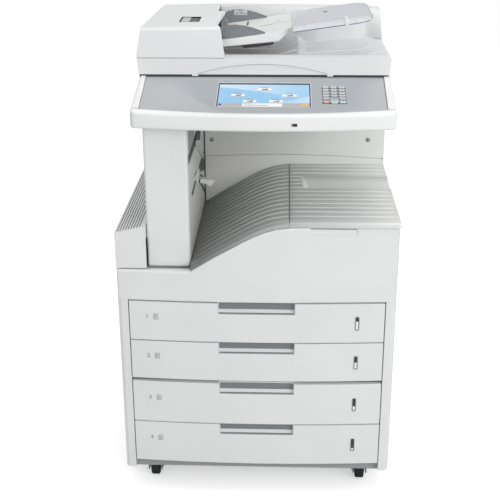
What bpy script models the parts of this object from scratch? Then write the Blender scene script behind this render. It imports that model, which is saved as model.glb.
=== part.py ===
"""Floor-standing photocopier with document feeder, touch panel and four paper drawers.

Frame: origin on the floor under the middle of the bounding box, +Z up, front towards -Y.
Lengths below are in millimetres and are converted once, in mm().
"""
import math

import bmesh
import bpy
from mathutils import Matrix, Vector

# ----------------------------------------------------------------- overall sizes
FRONT = -320.5          # foremost point: middle of the panel bumper
BACK = 320.5
GAP = 0.6               # clearance between neighbouring pieces
TOP_X = 13.5            # the scanner unit is centred this far right of the body
BODY_FRONT = -302.0     # foremost line of drawers and front door
BODY_BOW = 12.0         # how far their ends curve back
INNER_FRONT = -279.0    # back face of the drawer fronts
CHASSIS_FRONT = -276.0

# ----------------------------------------------------------------- panel, mm
PANEL_HALF = 290.0
PANEL_Z0 = 938.3
PANEL_LIP = 975.4
PANEL_BOW = 25.0
FASCIA_Y0 = -301.0      # foremost point of the fascia, in the middle of its bowed edge
FASCIA_Z0 = 974.2
FASCIA_BOW = 15.5
FASCIA_Y1 = -113.5
FASCIA_TILT = math.radians(12.6)
KEYPAD_Y = -284.5       # keys and screen are placed by their distance up the slope from here
KEY_W = 13.2
KEY_H = 9.5
KEY_COLS = (139.3, 157.5, 175.7)
KEY_ROWS = (113.0, 98.6, 84.2, 69.8)
KEY_ROW5 = 55.4
KEY_ROW6 = 36.5

# ----------------------------------------------------------------- output tray profile (x, z)
TRAY_S = ((-152.0, 615.0), (-119.0, 636.0), (-93.0, 652.5), (-67.0, 667.0), (-31.0, 688.0), (-4.0, 702.0),
          (20.0, 712.0), (44.0, 719.0), (68.0, 722.4), (80.0, 723.4), (326.5, 724.0))
SEAM_X = 75.0
BAY_WALL_Y = 169.5
BAY_ARCH = ((-152.0, 743.0), (-40.0, 748.2), (63.0, 750.0), (200.0, 746.5), (326.5, 739.0))

for ob in list(bpy.data.objects):
    bpy.data.objects.remove(ob, do_unlink=True)

SCENE = bpy.context.scene
PARTS = bpy.data.collections.new("photocopier")
CUTTERS = bpy.data.collections.new("cutters")
SCENE.collection.children.link(PARTS)
SCENE.collection.children.link(CUTTERS)

WHITE = (0.78, 0.79, 0.79)
SHADE = (0.62, 0.63, 0.62)
GREY = (0.37, 0.39, 0.41)
DARK = (0.10, 0.11, 0.12)
STEEL = (0.55, 0.56, 0.58)


def mm(p):
    return Vector((p[0] / 1000.0, p[1] / 1000.0, p[2] / 1000.0))


def material(name, colour, rough=0.5, metal=0.0, alpha=1.0):
    mat = bpy.data.materials.new(name)
    mat.use_nodes = True
    bsdf = mat.node_tree.nodes["Principled BSDF"]
    bsdf.inputs["Base Color"].default_value = (colour[0], colour[1], colour[2], 1.0)
    bsdf.inputs["Roughness"].default_value = rough
    bsdf.inputs["Metallic"].default_value = metal
    bsdf.inputs["Alpha"].default_value = alpha
    return mat


def add(name, bm, colour=WHITE, origin=(0, 0, 0), rough=0.5, metal=0.0, alpha=1.0, smooth=False,
        cutter=False):
    """Link a world-space bmesh as a named object whose origin is at the given point."""
    bmesh.ops.remove_doubles(bm, verts=bm.verts, dist=1e-6)
    bmesh.ops.recalc_face_normals(bm, faces=bm.faces)
    org = mm(origin)
    bmesh.ops.translate(bm, verts=bm.verts, vec=-org)
    for f in bm.faces:
        f.smooth = smooth
    me = bpy.data.meshes.new(name)
    bm.to_mesh(me)
    bm.free()
    ob = bpy.data.objects.new(name, me)
    ob.location = org
    if cutter:
        ob.hide_render = True
        ob.display_type = 'WIRE'
        CUTTERS.objects.link(ob)
    else:
        me.materials.append(material(name, colour, rough, metal, alpha))
        PARTS.objects.link(ob)
    return ob


def box_into(bm, x0, x1, y0, y1, z0, z1, turn=None):
    """Add an axis-aligned box to bm; turn is an optional matrix applied in world space."""
    m = Matrix.Translation(mm(((x0 + x1) / 2, (y0 + y1) / 2, (z0 + z1) / 2)))
    m = m @ Matrix.Diagonal(((x1 - x0) / 1000.0, (y1 - y0) / 1000.0, (z1 - z0) / 1000.0, 1.0))
    if turn is not None:
        m = turn @ m
    bmesh.ops.create_cube(bm, size=1.0, matrix=m)


def box(name, x0, x1, y0, y1, z0, z1, **kw):
    bm = bmesh.new()
    box_into(bm, x0, x1, y0, y1, z0, z1)
    return add(name, bm, **kw)


def prism_bm(loops, axis, a0, a1):
    """Flat outline (with any holes) filled and extruded along X, Y or Z between a0 and a1."""
    cu = bpy.data.curves.new("outline", 'CURVE')
    cu.dimensions = '2D'
    cu.fill_mode = 'BOTH'
    cu.extrude = (a1 - a0) / 2000.0
    for pts in loops:
        sp = cu.splines.new('POLY')
        sp.points.add(len(pts) - 1)
        for i, p in enumerate(pts):
            sp.points[i].co = (p[0] / 1000.0, p[1] / 1000.0, 0.0, 1.0)
        sp.use_cyclic_u = True
    ob = bpy.data.objects.new("outline", cu)
    SCENE.collection.objects.link(ob)
    bpy.context.view_layer.update()
    dg = bpy.context.evaluated_depsgraph_get()
    me = bpy.data.meshes.new_from_object(ob.evaluated_get(dg))
    bpy.data.objects.remove(ob, do_unlink=True)
    bpy.data.curves.remove(cu)
    bm = bmesh.new()
    bm.from_mesh(me)
    bpy.data.meshes.remove(me)
    bmesh.ops.remove_doubles(bm, verts=bm.verts, dist=1e-5)
    mid = (a0 + a1) / 2000.0
    if axis == 'Y':
        m = Matrix(((1, 0, 0, 0), (0, 0, -1, mid), (0, 1, 0, 0), (0, 0, 0, 1)))
    elif axis == 'X':
        m = Matrix(((0, 0, 1, mid), (1, 0, 0, 0), (0, 1, 0, 0), (0, 0, 0, 1)))
    else:
        m = Matrix.Translation((0, 0, mid))
    bmesh.ops.transform(bm, matrix=m, verts=bm.verts)
    bmesh.ops.dissolve_limit(bm, angle_limit=0.002, verts=bm.verts, edges=bm.edges)
    bmesh.ops.triangulate(bm, faces=[f for f in bm.faces if len(f.verts) > 4])
    return bm


def prism(name, loops, axis, a0, a1, **kw):
    return add(name, prism_bm(loops, axis, a0, a1), **kw)


def loft(name, rings, **kw):
    """Skin of equal-length rings of points, closed with a cap at each end."""
    bm = bmesh.new()
    rows = [[bm.verts.new(mm(p)) for p in ring] for ring in rings]
    n = len(rows[0])
    for a, b in zip(rows, rows[1:]):
        for i in range(n):
            bm.faces.new((a[i], a[(i + 1) % n], b[(i + 1) % n], b[i]))
    caps = [bm.faces.new(rows[0]), bm.faces.new(list(reversed(rows[-1])))]
    bmesh.ops.triangulate(bm, faces=caps)
    return add(name, bm, **kw)


def turned_bm(profile, centre, axis, seg):
    """Solid of revolution: profile is (position along the axis, radius), closed if it is a ring."""
    bm = bmesh.new()
    verts = [bm.verts.new((r / 1000.0, 0, a / 1000.0)) for a, r in profile]
    edges = [bm.edges.new(pair) for pair in zip(verts, verts[1:])]
    if profile[0][1] > 0:
        edges.append(bm.edges.new((verts[-1], verts[0])))
    bmesh.ops.spin(bm, geom=verts + edges, cent=(0, 0, 0), axis=(0, 0, 1), angle=2 * math.pi, steps=seg,
                   use_merge=True)
    bmesh.ops.remove_doubles(bm, verts=bm.verts, dist=1e-6)
    rot = {'X': Matrix.Rotation(math.pi / 2, 4, 'Y'), 'Y': Matrix.Rotation(-math.pi / 2, 4, 'X'),
           'Z': Matrix.Identity(4)}[axis]
    bmesh.ops.transform(bm, matrix=Matrix.Translation(mm(centre)) @ rot, verts=bm.verts)
    return bm


def cut(target, cutter, op='DIFFERENCE'):
    mod = target.modifiers.new("shape", 'BOOLEAN')
    mod.operation = op
    mod.solver = 'EXACT'
    mod.object = cutter
    return target


def cutter_boxes(name, boxes, turn=None):
    bm = bmesh.new()
    for b in boxes:
        box_into(bm, *b, turn=turn)
    return add(name, bm, cutter=True)


def cutter_prism(name, loops, axis, a0, a1):
    return add(name, prism_bm(loops, axis, a0, a1), cutter=True)


def plan_slab(name, plan, low, high, cuts=(), cut_axis=0, cutter=False, **kw):
    """Plan outline with height functions low(x, y) and high(x, y), creased at the given stations."""
    bm = prism_bm([plan], 'Z', 0.0, 1000.0)
    for c in cuts:
        no = (1, 0, 0) if cut_axis == 0 else (0, 1, 0)
        co = (c / 1000.0, 0, 0) if cut_axis == 0 else (0, c / 1000.0, 0)
        everything = bm.verts[:] + bm.edges[:] + bm.faces[:]
        bmesh.ops.bisect_plane(bm, geom=everything, dist=1e-7, plane_co=co, plane_no=no)
    for v in bm.verts:
        x, y = v.co.x * 1000.0, v.co.y * 1000.0
        v.co.z = (high(x, y) if v.co.z > 0.5 else low(x, y)) / 1000.0
    bmesh.ops.triangulate(bm, faces=[f for f in bm.faces if len(f.verts) > 4])
    return add(name, bm, cutter=cutter, **kw)


def tray_z(x):
    if x <= TRAY_S[0][0]:
        return TRAY_S[0][1]
    for (x0, z0), (x1, z1) in zip(TRAY_S, TRAY_S[1:]):
        if x <= x1:
            return z0 + (z1 - z0) * (x - x0) / (x1 - x0)
    return TRAY_S[-1][1]


def bow(x, half=300.0, front=BODY_FRONT, depth=BODY_BOW, mid=0.0):
    return front + depth * ((x - mid) / half) ** 2


# ================================================================= base and casters
DECKS = ((84.0, 196.0), (200.0, 309.0), (318.0, 418.5), (422.5, 521.0))
RAIL_H = 8              # the rails on both sides that each drawer runs on
hole_loops = []
for z0, z1 in DECKS:
    rail = z0 + RAIL_H
    hole_loops.append([(-278, z0), (278, z0), (278, rail), (298, rail),
                       (298, z1), (-298, z1), (-298, rail), (-278, rail)])
outer = [(-316, 62), (316, 62), (316, 704), (299, 704), (299, 526), (-299, 526), (-299, 598), (-316, 598)]
chassis = prism("chassis", [outer] + hole_loops, 'Y', CHASSIS_FRONT, 296.0,
                colour=STEEL, rough=0.45, metal=0.6)
bm = bmesh.new()
box_into(bm, -240.0, 315.0, 182.0, 190.0, 520.0, 936.0)
tower_plate = add("tower_plate", bm, cutter=True)
cut(chassis, tower_plate, 'UNION')

WHEEL_R = 26.0
CASTERS = (("front_left", -262.0, -232.0), ("front_right", 262.0, -232.0), ("rear_left", -262.0, 240.0),
           ("rear_right", 262.0, 240.0))
TRAIL = 16.0


def fork_into(bm, cx, cy):
    """Plate, two ears and the axle pin of one caster."""
    arch = [(cx - 18, 61.3), (cx - 18, 22), (cx - 14.5, 22), (cx - 14.5, 55),
            (cx + 14.5, 55), (cx + 14.5, 22), (cx + 18, 22), (cx + 18, 61.3)]
    one = prism_bm([arch], 'Y', cy - 4.0, cy + TRAIL + 10.0)
    me = bpy.data.meshes.new("fork")
    one.to_mesh(me)
    one.free()
    bm.from_mesh(me)
    bpy.data.meshes.remove(me)


for tag, cx, cy in CASTERS:
    wy = cy + TRAIL
    bm = bmesh.new()
    fork_into(bm, cx, cy)
    fork = add("caster_fork_" + tag, bm, colour=STEEL, metal=0.8, rough=0.35, origin=(cx, cy, 61.3))
    pin_profile = [(-17, 0), (-17, 4.0), (17, 4.0), (17, 0)]
    pin = add("pin_" + tag, turned_bm(pin_profile, (cx, wy, WHEEL_R), 'X', 12), cutter=True)
    cut(fork, pin, 'UNION')
    prof = [(-11, 22), (-9, 26), (9, 26), (11, 22), (11, 4.6), (-11, 4.6)]
    add("caster_wheel_" + tag, turned_bm(prof, (cx, wy, WHEEL_R), 'X', 24), colour=(0.05, 0.05, 0.055),
        rough=0.7, origin=(cx, wy, WHEEL_R), smooth=True)

# ================================================================= drawers
FRONTS = ((423.0, 523.0), (320.0, 420.0), (201.0, 311.0), (88.0, 198.0))
XS = (-300.0, -240.0, -160.0, -80.0, 0.0, 80.0, 160.0, 240.0, 300.0)
for i, (z0, z1) in enumerate(FRONTS):
    n = i + 1
    deck = DECKS[3 - i]
    plan = [(x, bow(x)) for x in XS] + [(300, INNER_FRONT), (-300, INNER_FRONT)]
    drawer = prism("drawer_%d" % n, [plan], 'Z', z0, z1, colour=WHITE)
    b0 = deck[0] + 9.0
    b1 = deck[1] - 8.0
    bin_ob = box("bin_%d" % n, -294, 294, INNER_FRONT - 4.0, 250.0, b0, b1, cutter=True)
    cut(drawer, bin_ob, 'UNION')
    hollow = (-289, 289, INNER_FRONT + 2.0, 245.0, b0 + 3.0, b1 + 60.0)
    cut(drawer, cutter_boxes("bin_hollow_%d" % n, [hollow]))
    grip = [(BODY_FRONT - 5, z1 - 26), (BODY_FRONT + 6, z1 - 28), (BODY_FRONT + 15, z1 - 18),
            (BODY_FRONT + 15, z1 + 5), (BODY_FRONT - 5, z1 + 5)]
    cut(drawer, cutter_prism("grip_%d" % n, [grip], 'X', -90.0, 90.0))

# ================================================================= front door
DOOR_Z0 = 527.2
door_top = [(-322.0, 601.5), (-154.0, 601.5)] + [(x, z - 13.0) for x, z in TRAY_S[:-1]] + [(322.0, 711.0)]
rings = []
for x, zt in door_top:
    fy = bow(x, half=322.0)
    rings.append([(x, fy, DOOR_Z0), (x, INNER_FRONT, DOOR_Z0), (x, INNER_FRONT, zt),
                  (x, fy + 3.0, zt), (x, fy, zt - 4.0)])
door = loft("front_door", rings, colour=WHITE, origin=(0, BODY_FRONT, DOOR_Z0))
scoop = [(BODY_FRONT - 5, 690), (BODY_FRONT + 10, 694), (BODY_FRONT + 12, 718), (BODY_FRONT - 5, 718)]
cut(door, cutter_prism("door_grip", [scoop], 'X', 120.0, 230.0))

# ================================================================= inside the engine bay
bottle = [(96, 532), (206, 532), (214, 560), (214, 640), (196, 672), (110, 672), (90, 640), (90, 548)]
prism("toner_cartridge", [bottle], 'Y', -262.0, 150.0, colour=DARK, rough=0.4)
DRUM_AXIS = (40.0, 0.0, 600.0)
drum_profile = [(-266, 0), (-266, 8), (-250, 8), (-250, 26), (100, 26), (100, 8), (116, 8), (116, 0)]
add("photoconductor_drum", turned_bm(drum_profile, DRUM_AXIS, 'Y', 24), colour=(0.05, 0.22, 0.24),
    rough=0.2, origin=DRUM_AXIS, smooth=True)

# ================================================================= side and rear covers
right_plan = [(302, -290), (318, -288.5), (324.5, -285), (326.5, -279), (326.5, 311), (318, 311),
              (318, -277.5), (302, -277.5)]
right_cover = prism("right_cover", [right_plan], 'Z', 66.0, 526.4, colour=WHITE)
side_upper = [(-277.5, 500), (311, 500), (311, 937), (178.5, 937), (178.5, 711.5), (-277.5, 711.5)]
cut(right_cover, cutter_prism("right_upper", [side_upper], 'X', 318.0, 326.5), 'UNION')
slots = [(310, 340, 60 + 16 * i, 67 + 16 * i, 420, 520) for i in range(9)]
cut(right_cover, cutter_boxes("right_vents", slots))

left_plan = [(-x, y) for x, y in right_plan]
left_cover = prism("left_cover", [left_plan], 'Z', 66.0, 526.4, colour=WHITE)
louver = [(-326.5, 500), (-326.5, 690)]
for i in range(9):
    x = -322.5 + 6.5 * i
    top = 690.0 + (x + 326.5) * 0.22
    louver += [(x, top), (x, top - 9.0), (x + 3.0, top - 9.0), (x + 3.0, top + 0.7)]
louver += [(-255.2, 706.0), (-255.2, 674.0), (-318, 664.0), (-318, 500)]
cut(left_cover, cutter_prism("left_upper", [louver], 'Y', -277.5, 311.0), 'UNION')
shoulder = [(-326.5, 604.2), (-255.2, 604.2), (-255.2, 706.0), (-326.5, 690.0)]
cut(left_cover, cutter_prism("shoulder_face", [shoulder], 'Y', -285.0, -277.0), 'UNION')
cut(left_cover, cutter_boxes("left_door_hole", [(-340, -310, -201, 161, 329, 597)]))

left_door = box("left_door", -326.5, -318.5, -200, 160, 330, 596, colour=WHITE, origin=(-326.5, 0, 330))
cut(left_door, cutter_boxes("mp_hole", [(-330, -310, -141, 101, 399, 571)]))
box("mp_tray", -326.5, -319.5, -140, 100, 400, 570, colour=WHITE, origin=(-326.5, 0, 400))

rear_outline = [(-326.5, 66), (326.5, 66), (326.5, 937), (-254, 937), (-254, 706), (-326.5, 690)]
rear_cover = prism("rear_cover", [rear_outline], 'Y', 311.6, BACK, colour=SHADE)
slots = [(-120 + 20 * i, -110 + 20 * i, 300, 330, 600, 680) for i in range(13)]
cut(rear_cover, cutter_boxes("rear_vents", slots))

# ================================================================= output tray and bay
TROUGH_X0 = 109.0       # finger trough in the tray's right part
TROUGH_RUN = 16.0
TROUGH_Y0 = -42.0
TROUGH_DEEPEST = -33.4
TROUGH_Y1 = 57.4
TROUGH_DEPTH = 8.4
RIB_Y = (144, 114, 84, 53, 23, -8, -38, -69, -100, -130, -160, -191, -221, -252)


def rib_height(y):
    for c in RIB_Y:
        if abs(y - c) < 2.6:
            return 1.6
    return 0.0


def trough_drop(x, y):
    """Depth of the finger trough: it fades out at its left end and falls towards the front."""
    if x <= TROUGH_X0 or not TROUGH_Y0 < y < TROUGH_Y1:
        return 0.0
    along = min(1.0, (x - TROUGH_X0) / TROUGH_RUN)
    if y < TROUGH_DEEPEST:
        across = (y - TROUGH_Y0) / (TROUGH_DEEPEST - TROUGH_Y0)
    else:
        across = (TROUGH_Y1 - y) / (TROUGH_Y1 - TROUGH_DEEPEST)
    return TROUGH_DEPTH * along * across


def tray_piece(name, xs, under):
    """Ribbed sheet of the output tray across the stations xs, its underside lying under its top."""
    ys = [168.8, TROUGH_Y1, TROUGH_DEEPEST, TROUGH_Y0, -292.0, -297.0]
    for c in RIB_Y:
        ys += [c + 3.2, c + 2.2, c - 2.2, c - 3.2]
    rings = []
    for y in sorted(ys, reverse=True):
        ring = []
        for i, x in enumerate(xs):
            z = tray_z(x) - (4.0 if y < -296 else 0.0)
            in_trough = x >= TROUGH_X0 and TROUGH_Y0 <= y <= TROUGH_Y1
            if i not in (0, len(xs) - 1) and not in_trough:
                z += rib_height(y)
            ring.append((x, y, z - trough_drop(x, y)))
        ring += [(x, y, tray_z(x) - under) for x in reversed(xs)]
        rings.append(ring)
    return loft(name, rings, colour=SHADE)


left_xs = [p[0] for p in TRAY_S if p[0] < SEAM_X - 2] + [SEAM_X - 0.4]
right_xs = [SEAM_X + 0.4, 90.0, 107.0, TROUGH_X0, TROUGH_X0 + TROUGH_RUN, 200.0, 312.0, 326.5]
tray_piece("output_tray_left", left_xs, 12.0)
tray_piece("output_tray_right", right_xs, 11.6)
upper = [(x, z) for x, z in BAY_ARCH] + [(326.5, 937.0), (-152.0, 937.0)]
prism("bay_rear_panel", [upper], 'Y', BAY_WALL_Y, 178.0, colour=SHADE)
lower = [(x, z - 11.0) for x, z in TRAY_S] + [(x, z - 0.9) for x, z in reversed(BAY_ARCH)]
prism("bay_lower_panel", [lower], 'Y', BAY_WALL_Y, 178.0, colour=SHADE)

column_plan = [(-248, -270), (-161, -270), (-157, -268.5), (-155, -264), (-155, 168.8), (-161, 168.8),
               (-161, -262), (-246, -262), (-246, 311), (-254, 311), (-254, -264), (-252, -268.5)]
column = prism("left_column", [column_plan], 'Z', 604.2, 937.0, colour=WHITE)
exit_slots = [(-170, -150, -250, 100, 838, 866), (-170, -150, 18, 165, 724, 758)]
cut(column, cutter_boxes("exit_slots", exit_slots))
EXIT_AXIS = (-170.0, 0, 741.0)
exit_profile = [(20, 0), (20, 4), (30, 4), (30, 9), (60, 9), (60, 4), (85, 4), (85, 9), (115, 9), (115, 4),
                (140, 4), (140, 9), (158, 9), (158, 0)]
add("exit_roller", turned_bm(exit_profile, EXIT_AXIS, 'Y', 16), colour=DARK, rough=0.7, origin=EXIT_AXIS,
    smooth=True)
flag = [(-151.0, 723), (-151.0, 732), (-148, 734), (-112, 730), (-124, 715), (-140, 722)]
prism("exit_flag", [flag], 'Y', -8.0, 8.0, colour=WHITE, origin=(-146.0, 0, 728.0))

# ================================================================= scanner
SX0 = TOP_X - 291.0
SX1 = TOP_X + 291.0
scanner = box("scanner_base", SX0, SX1, -111.5, 318.0, 937.7, 1018.0, colour=WHITE)
cut(scanner, cutter_boxes("scan_cavity", [(SX0 + 12, SX1 - 12, -100, 306, 944, 1009)]))
cut(scanner, cutter_boxes("scan_window", [(-206, 207, -58, 222, 1000, 1016)]))
cut(scanner, cutter_boxes("glass_rebate", [(-216.5, 217.5, -68.5, 232.5, 1013.5, 1030)]))
box("platen_glass", -216, 217, -68, 232, 1014, 1018, colour=(0.55, 0.66, 0.66), rough=0.05, alpha=0.35)
box("scan_carriage", -255, -196, -85, 250, 962, 1004, colour=DARK, rough=0.4, origin=(-225, 80, 983))

# ================================================================= platen lid with the exit tray
HINGE = (281.0, 1033.5)   # (y, z) of the lid's hinge line
LID_FRONT = -117.0
LID_BACK = 290.0
LID_Z0 = 1021.6
LID_Z1 = 1058.0
lid_sides = [(-278.5, LID_Z0), (301.0, LID_Z0), (305.0, LID_Z1), (-282.0, LID_Z1)]
lid = prism("platen_lid", [lid_sides], 'Y', LID_FRONT, LID_BACK, colour=WHITE,
            origin=(0, HINGE[0], HINGE[1]))
arc = [(x, 1045.5 - 24.5 * ((x - 9.0) / 156.0) ** 2) for x in range(-150, 169, 22)]
cut(lid, cutter_prism("front_arc", [arc + [(170.0, 1010.0), (-152.0, 1010.0)]], 'Y', -130.0, -115.8))
# exit tray: a sloping terraced floor sunk behind the front rim
TERRACES = ((-63.0, 0.0, 1030.0), (0.0, 62.0, 1034.0), (62.0, 128.0, 1038.0), (128.0, 300.0, 1041.0))
for k, (y0, y1, zb) in enumerate(TERRACES):
    floor = [(-96.0, zb), (40.0, zb - 2.0), (93.0, zb + 13.0), (113.0, zb + 4.0), (250.0, zb + 14.0),
             (305.5, zb + 28.0), (305.5, 1140.0), (-96.0, 1140.0)]
    cut(lid, cutter_prism("terrace_%d" % k, [floor], 'Y', y0, y1))
RIDGE = ((-96.0, 231.0, 1035.0, 243.0, 1130.0),     # x, then y and z of the wall's foot and of its top
         (66.0, 231.0, 1035.0, 243.0, 1128.6),
         (150.0, 196.0, 1042.0, 241.0, 1127.6),
         (262.0, 187.0, 1054.0, 239.0, 1126.2),
         (318.0, 139.5, 1068.0, 227.4, 1121.3))
RIDGE_ROWS = (-96.0, 66.0, 78.0, 88.0, 98.0, 108.0, 118.0, 128.0, 138.0, 150.0, 190.0, 230.0, 262.0,
              272.0, 281.0, 289.0, 297.0, 305.0)


def ridge_row(x):
    """Section of the wall behind the lid's upper tray, eased between the rows of RIDGE."""
    for a, b in zip(RIDGE, RIDGE[1:]):
        if a[0] <= x <= b[0]:
            t = (x - a[0]) / (b[0] - a[0])
            t = t * t * (3.0 - 2.0 * t)
            foot, foot_z, top, top_z = [p + (q - p) * t for p, q in zip(a[1:], b[1:])]
    base = 1025.0 if x < 290.0 else 1052.0
    return [(x, foot - 4.0, base), (x, foot, foot_z), (x, top, top_z), (x, 284.0, top_z),
            (x, LID_BACK, top_z - 6.0), (x, LID_BACK, base)]


ridge = [ridge_row(x) for x in RIDGE_ROWS]
cut(lid, loft("ridge", ridge, cutter=True), 'UNION')
cut(lid, cutter_boxes("hinge_notches", [(x - 24, x + 24, 266, 296, 1010, 1048) for x in (-160.0, 190.0)]))
box("platen_pad", -222, 223, -74, 238, 1018.5, 1021.2, colour=(0.85, 0.85, 0.84), rough=0.9,
    origin=(0, HINGE[0], HINGE[1]))
post = [(HINGE[0] - 8, 1018.4), (HINGE[0] + 8, 1018.4)]
for k in range(9):
    a = math.pi * k / 8
    post.append((HINGE[0] + 8 * math.cos(a), HINGE[1] + 8 * math.sin(a)))
hinges = prism("lid_hinges", [post], 'X', -182.0, -138.0, colour=STEEL, metal=0.7, rough=0.4)
cut(hinges, cutter_prism("second_post", [post], 'X', 168.0, 212.0), 'UNION')
cut(hinges, cutter_boxes("hinge_bar", [(-182.0, 212.0, 293.0, 303.0, 1018.4, 1021.0)]), 'UNION')
cut(hinges, cutter_boxes("hinge_arms", [(-182.0, -138.0, 285.0, 295.0, 1018.4, 1021.0),
                                        (168.0, 212.0, 285.0, 295.0, 1018.4, 1021.0)]), 'UNION')

# ================================================================= document feeder
AY0 = -112.0
AY1 = 288.0
COVER_X0 = -283.0
COVER_Z0 = 1058.6


def cover_ring(y, drop, right=-91.5):
    """Section of the feeder cover at y, its top lowered by drop for the rounded fold."""
    left = -272.0 + (y - AY0) * 0.031
    return [(COVER_X0, y, COVER_Z0), (COVER_X0 + 0.5, y, COVER_Z0 + 10.0), (left, y, 1127.0 - drop),
            (right, y, 1130.0 - drop), (-78.5, y, COVER_Z0)]


cover = loft("adf_cover", [cover_ring(AY0, 58.0, -80.0), cover_ring(AY0 + 4.5, 7.0, -87.0),
                           cover_ring(AY0 + 8.0, 1.8, -89.0), cover_ring(AY0 + 13.0, 0.0, -91.0),
                           cover_ring(AY0 + 34.0, 0.0, -99.5), cover_ring(139.0, 0.0),
                           cover_ring(AY1 - 6.0, 0.0), cover_ring(AY1, 6.0)], colour=WHITE,
             origin=(COVER_X0, 0, COVER_Z0))
inner = [(-274.0, 1040.0), (-274.0, 1066.0), (-254.0, 1120.6), (-60.0, 1124.6), (-60.0, 1040.0)]
cut(cover, cutter_prism("cover_hollow", [inner], 'Y', AY0 + 13.0, AY1 - 5.0))
cut(cover, cutter_boxes("cover_jog", [(-109.6, -60.0, 145.0, 300.0, 1040.0, 1140.0)]))
cut(cover, cutter_boxes("latch_recess", [(-191.0, -143.0, -33.0, 52.0, 1125.4, 1140.0)]))
ROLLER_AXIS = (-118.0, 0, 1097.0)
roller_profile = [(-96, 0), (-96, 4), (52, 4), (52, 15), (108, 15), (108, 4), (276, 4), (276, 0)]
add("adf_roller", turned_bm(roller_profile, ROLLER_AXIS, 'Y', 20), colour=(0.12, 0.13, 0.14), rough=0.8,
    origin=ROLLER_AXIS, smooth=True)

FEED_SLOPE = 0.14       # rise of the document tray per unit of length
FEED_X0 = -88.0
FEED_Z0 = 1090.0


def feed_z(x):
    return FEED_Z0 + FEED_SLOPE * (x - FEED_X0)


def feed_low(x, y):
    """Underside of the document tray: deep at the feeder, a thin lip past x = 70."""
    if x <= 46.0:
        return 1075.0 + (x - FEED_X0) * 0.105
    return 1089.0 + (x - 46.0) * 0.62 if x < 70.0 else feed_z(x) - 2.5


feed_plan = [(FEED_X0, -54), (46, -54), (62, -32), (72, -4), (78, 26), (80, 60), (80, 190), (75, 212),
             (62, 226), (FEED_X0, 226)]
plan_slab("adf_input_tray", feed_plan, feed_low, lambda x, y: feed_z(x), cuts=(46.0, 68.0), colour=WHITE,
          origin=(-86.0, 0, 1082.0))
ext_plan = [(78, -55), (226, -55), (244, -50), (258, -37), (265, -18), (265, 172), (259, 196), (246, 214),
            (226, 226), (200, 229), (78, 229)]
plan_slab("adf_tray_extension", ext_plan, lambda x, y: feed_z(x) + 0.7, lambda x, y: feed_z(x) + 4.2,
          colour=(0.60, 0.62, 0.66), rough=0.15, alpha=0.6, origin=(170, 87, 1126))


def guide(name, y0, y1):
    pts = [(-86.0, feed_z(-86.0) + 0.6), (14.0, feed_z(14.0) + 0.6), (13.0, feed_z(13.0) + 3.0),
           (2.0, 1111.0), (-14.0, 1117.0), (-34.0, 1122.0), (-56.0, 1124.6), (-76.0, 1124.0),
           (-84.0, 1119.0), (-86.0, 1112.0)]
    return prism(name, [pts], 'Y', y0, y1, colour=(0.22, 0.23, 0.25), rough=0.5,
                 origin=(-36.0, (y0 + y1) / 2, 1105.0))


guide("guide_front", -45.0, -40.0)
guide("guide_rear", 208.0, 213.0)

# ================================================================= operating panel


def panel_top(x, y):
    if y < FASCIA_Y0:
        return PANEL_LIP
    return PANEL_LIP + (y - FASCIA_Y0) * math.tan(FASCIA_TILT) + 1.5 * min(1.0, (y - FASCIA_Y0) / 20.0)


def bumper_y(x):
    return FRONT + PANEL_BOW * ((x - TOP_X) / PANEL_HALF) ** 2


plan = []
for k in range(13):
    x = TOP_X - 274.0 + 548.0 * k / 12
    plan.append((x, bumper_y(x)))
PX0 = TOP_X - PANEL_HALF
PX1 = TOP_X + PANEL_HALF
PANEL_REAR = -112.2
ends = bumper_y(PX1)
plan += [(PX1 - 8, ends - 1), (PX1 - 2, ends + 6), (PX1, ends + 18), (PX1, PANEL_REAR),
         (PX0, PANEL_REAR), (PX0, ends + 18), (PX0 + 2, ends + 6), (PX0 + 8, ends - 1)]
housing = plan_slab("panel_housing", plan, lambda x, y: PANEL_Z0, panel_top,
                    cuts=(FASCIA_Y0, FASCIA_Y0 + 20), cut_axis=1, colour=(0.86, 0.87, 0.87))


def fascia_edge(x):
    return FASCIA_Y0 + FASCIA_BOW * ((x - TOP_X) / 271.0) ** 2


def on_fascia(x, y):
    return FASCIA_Z0 + (y - FASCIA_Y0) * math.tan(FASCIA_TILT)


def fascia_outline(grow):
    pts = []
    for k in range(13):
        x = TOP_X + (-270.6 - grow) + (541.2 + 2 * grow) * k / 12
        pts.append((x, fascia_edge(x) - grow))
    return pts + [(TOP_X + 274.3 + grow, FASCIA_Y1 + grow), (TOP_X - 274.3 - grow, FASCIA_Y1 + grow)]


opening = plan_slab("fascia_opening", fascia_outline(GAP), lambda x, y: on_fascia(x, y) - 5.0,
                    lambda x, y: 1060.0, cutter=True)
cut(housing, opening)
pocket = [(-273.0, 950.0), (-116.0, 950.0), (-116.0, 1040.0), (-273.0, 1040.0)]
cut(housing, cutter_prism("panel_pocket", [pocket], 'X', TOP_X - 250.0, TOP_X + 250.0))
cut(housing, cutter_boxes("usb_port", [(76.0, 88.0, -330.0, -306.0, 951.0, 957.0)]))
fascia = plan_slab("panel_fascia", fascia_outline(0.0), lambda x, y: on_fascia(x, y) - 4.0, on_fascia,
                   colour=GREY, rough=0.45)

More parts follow.
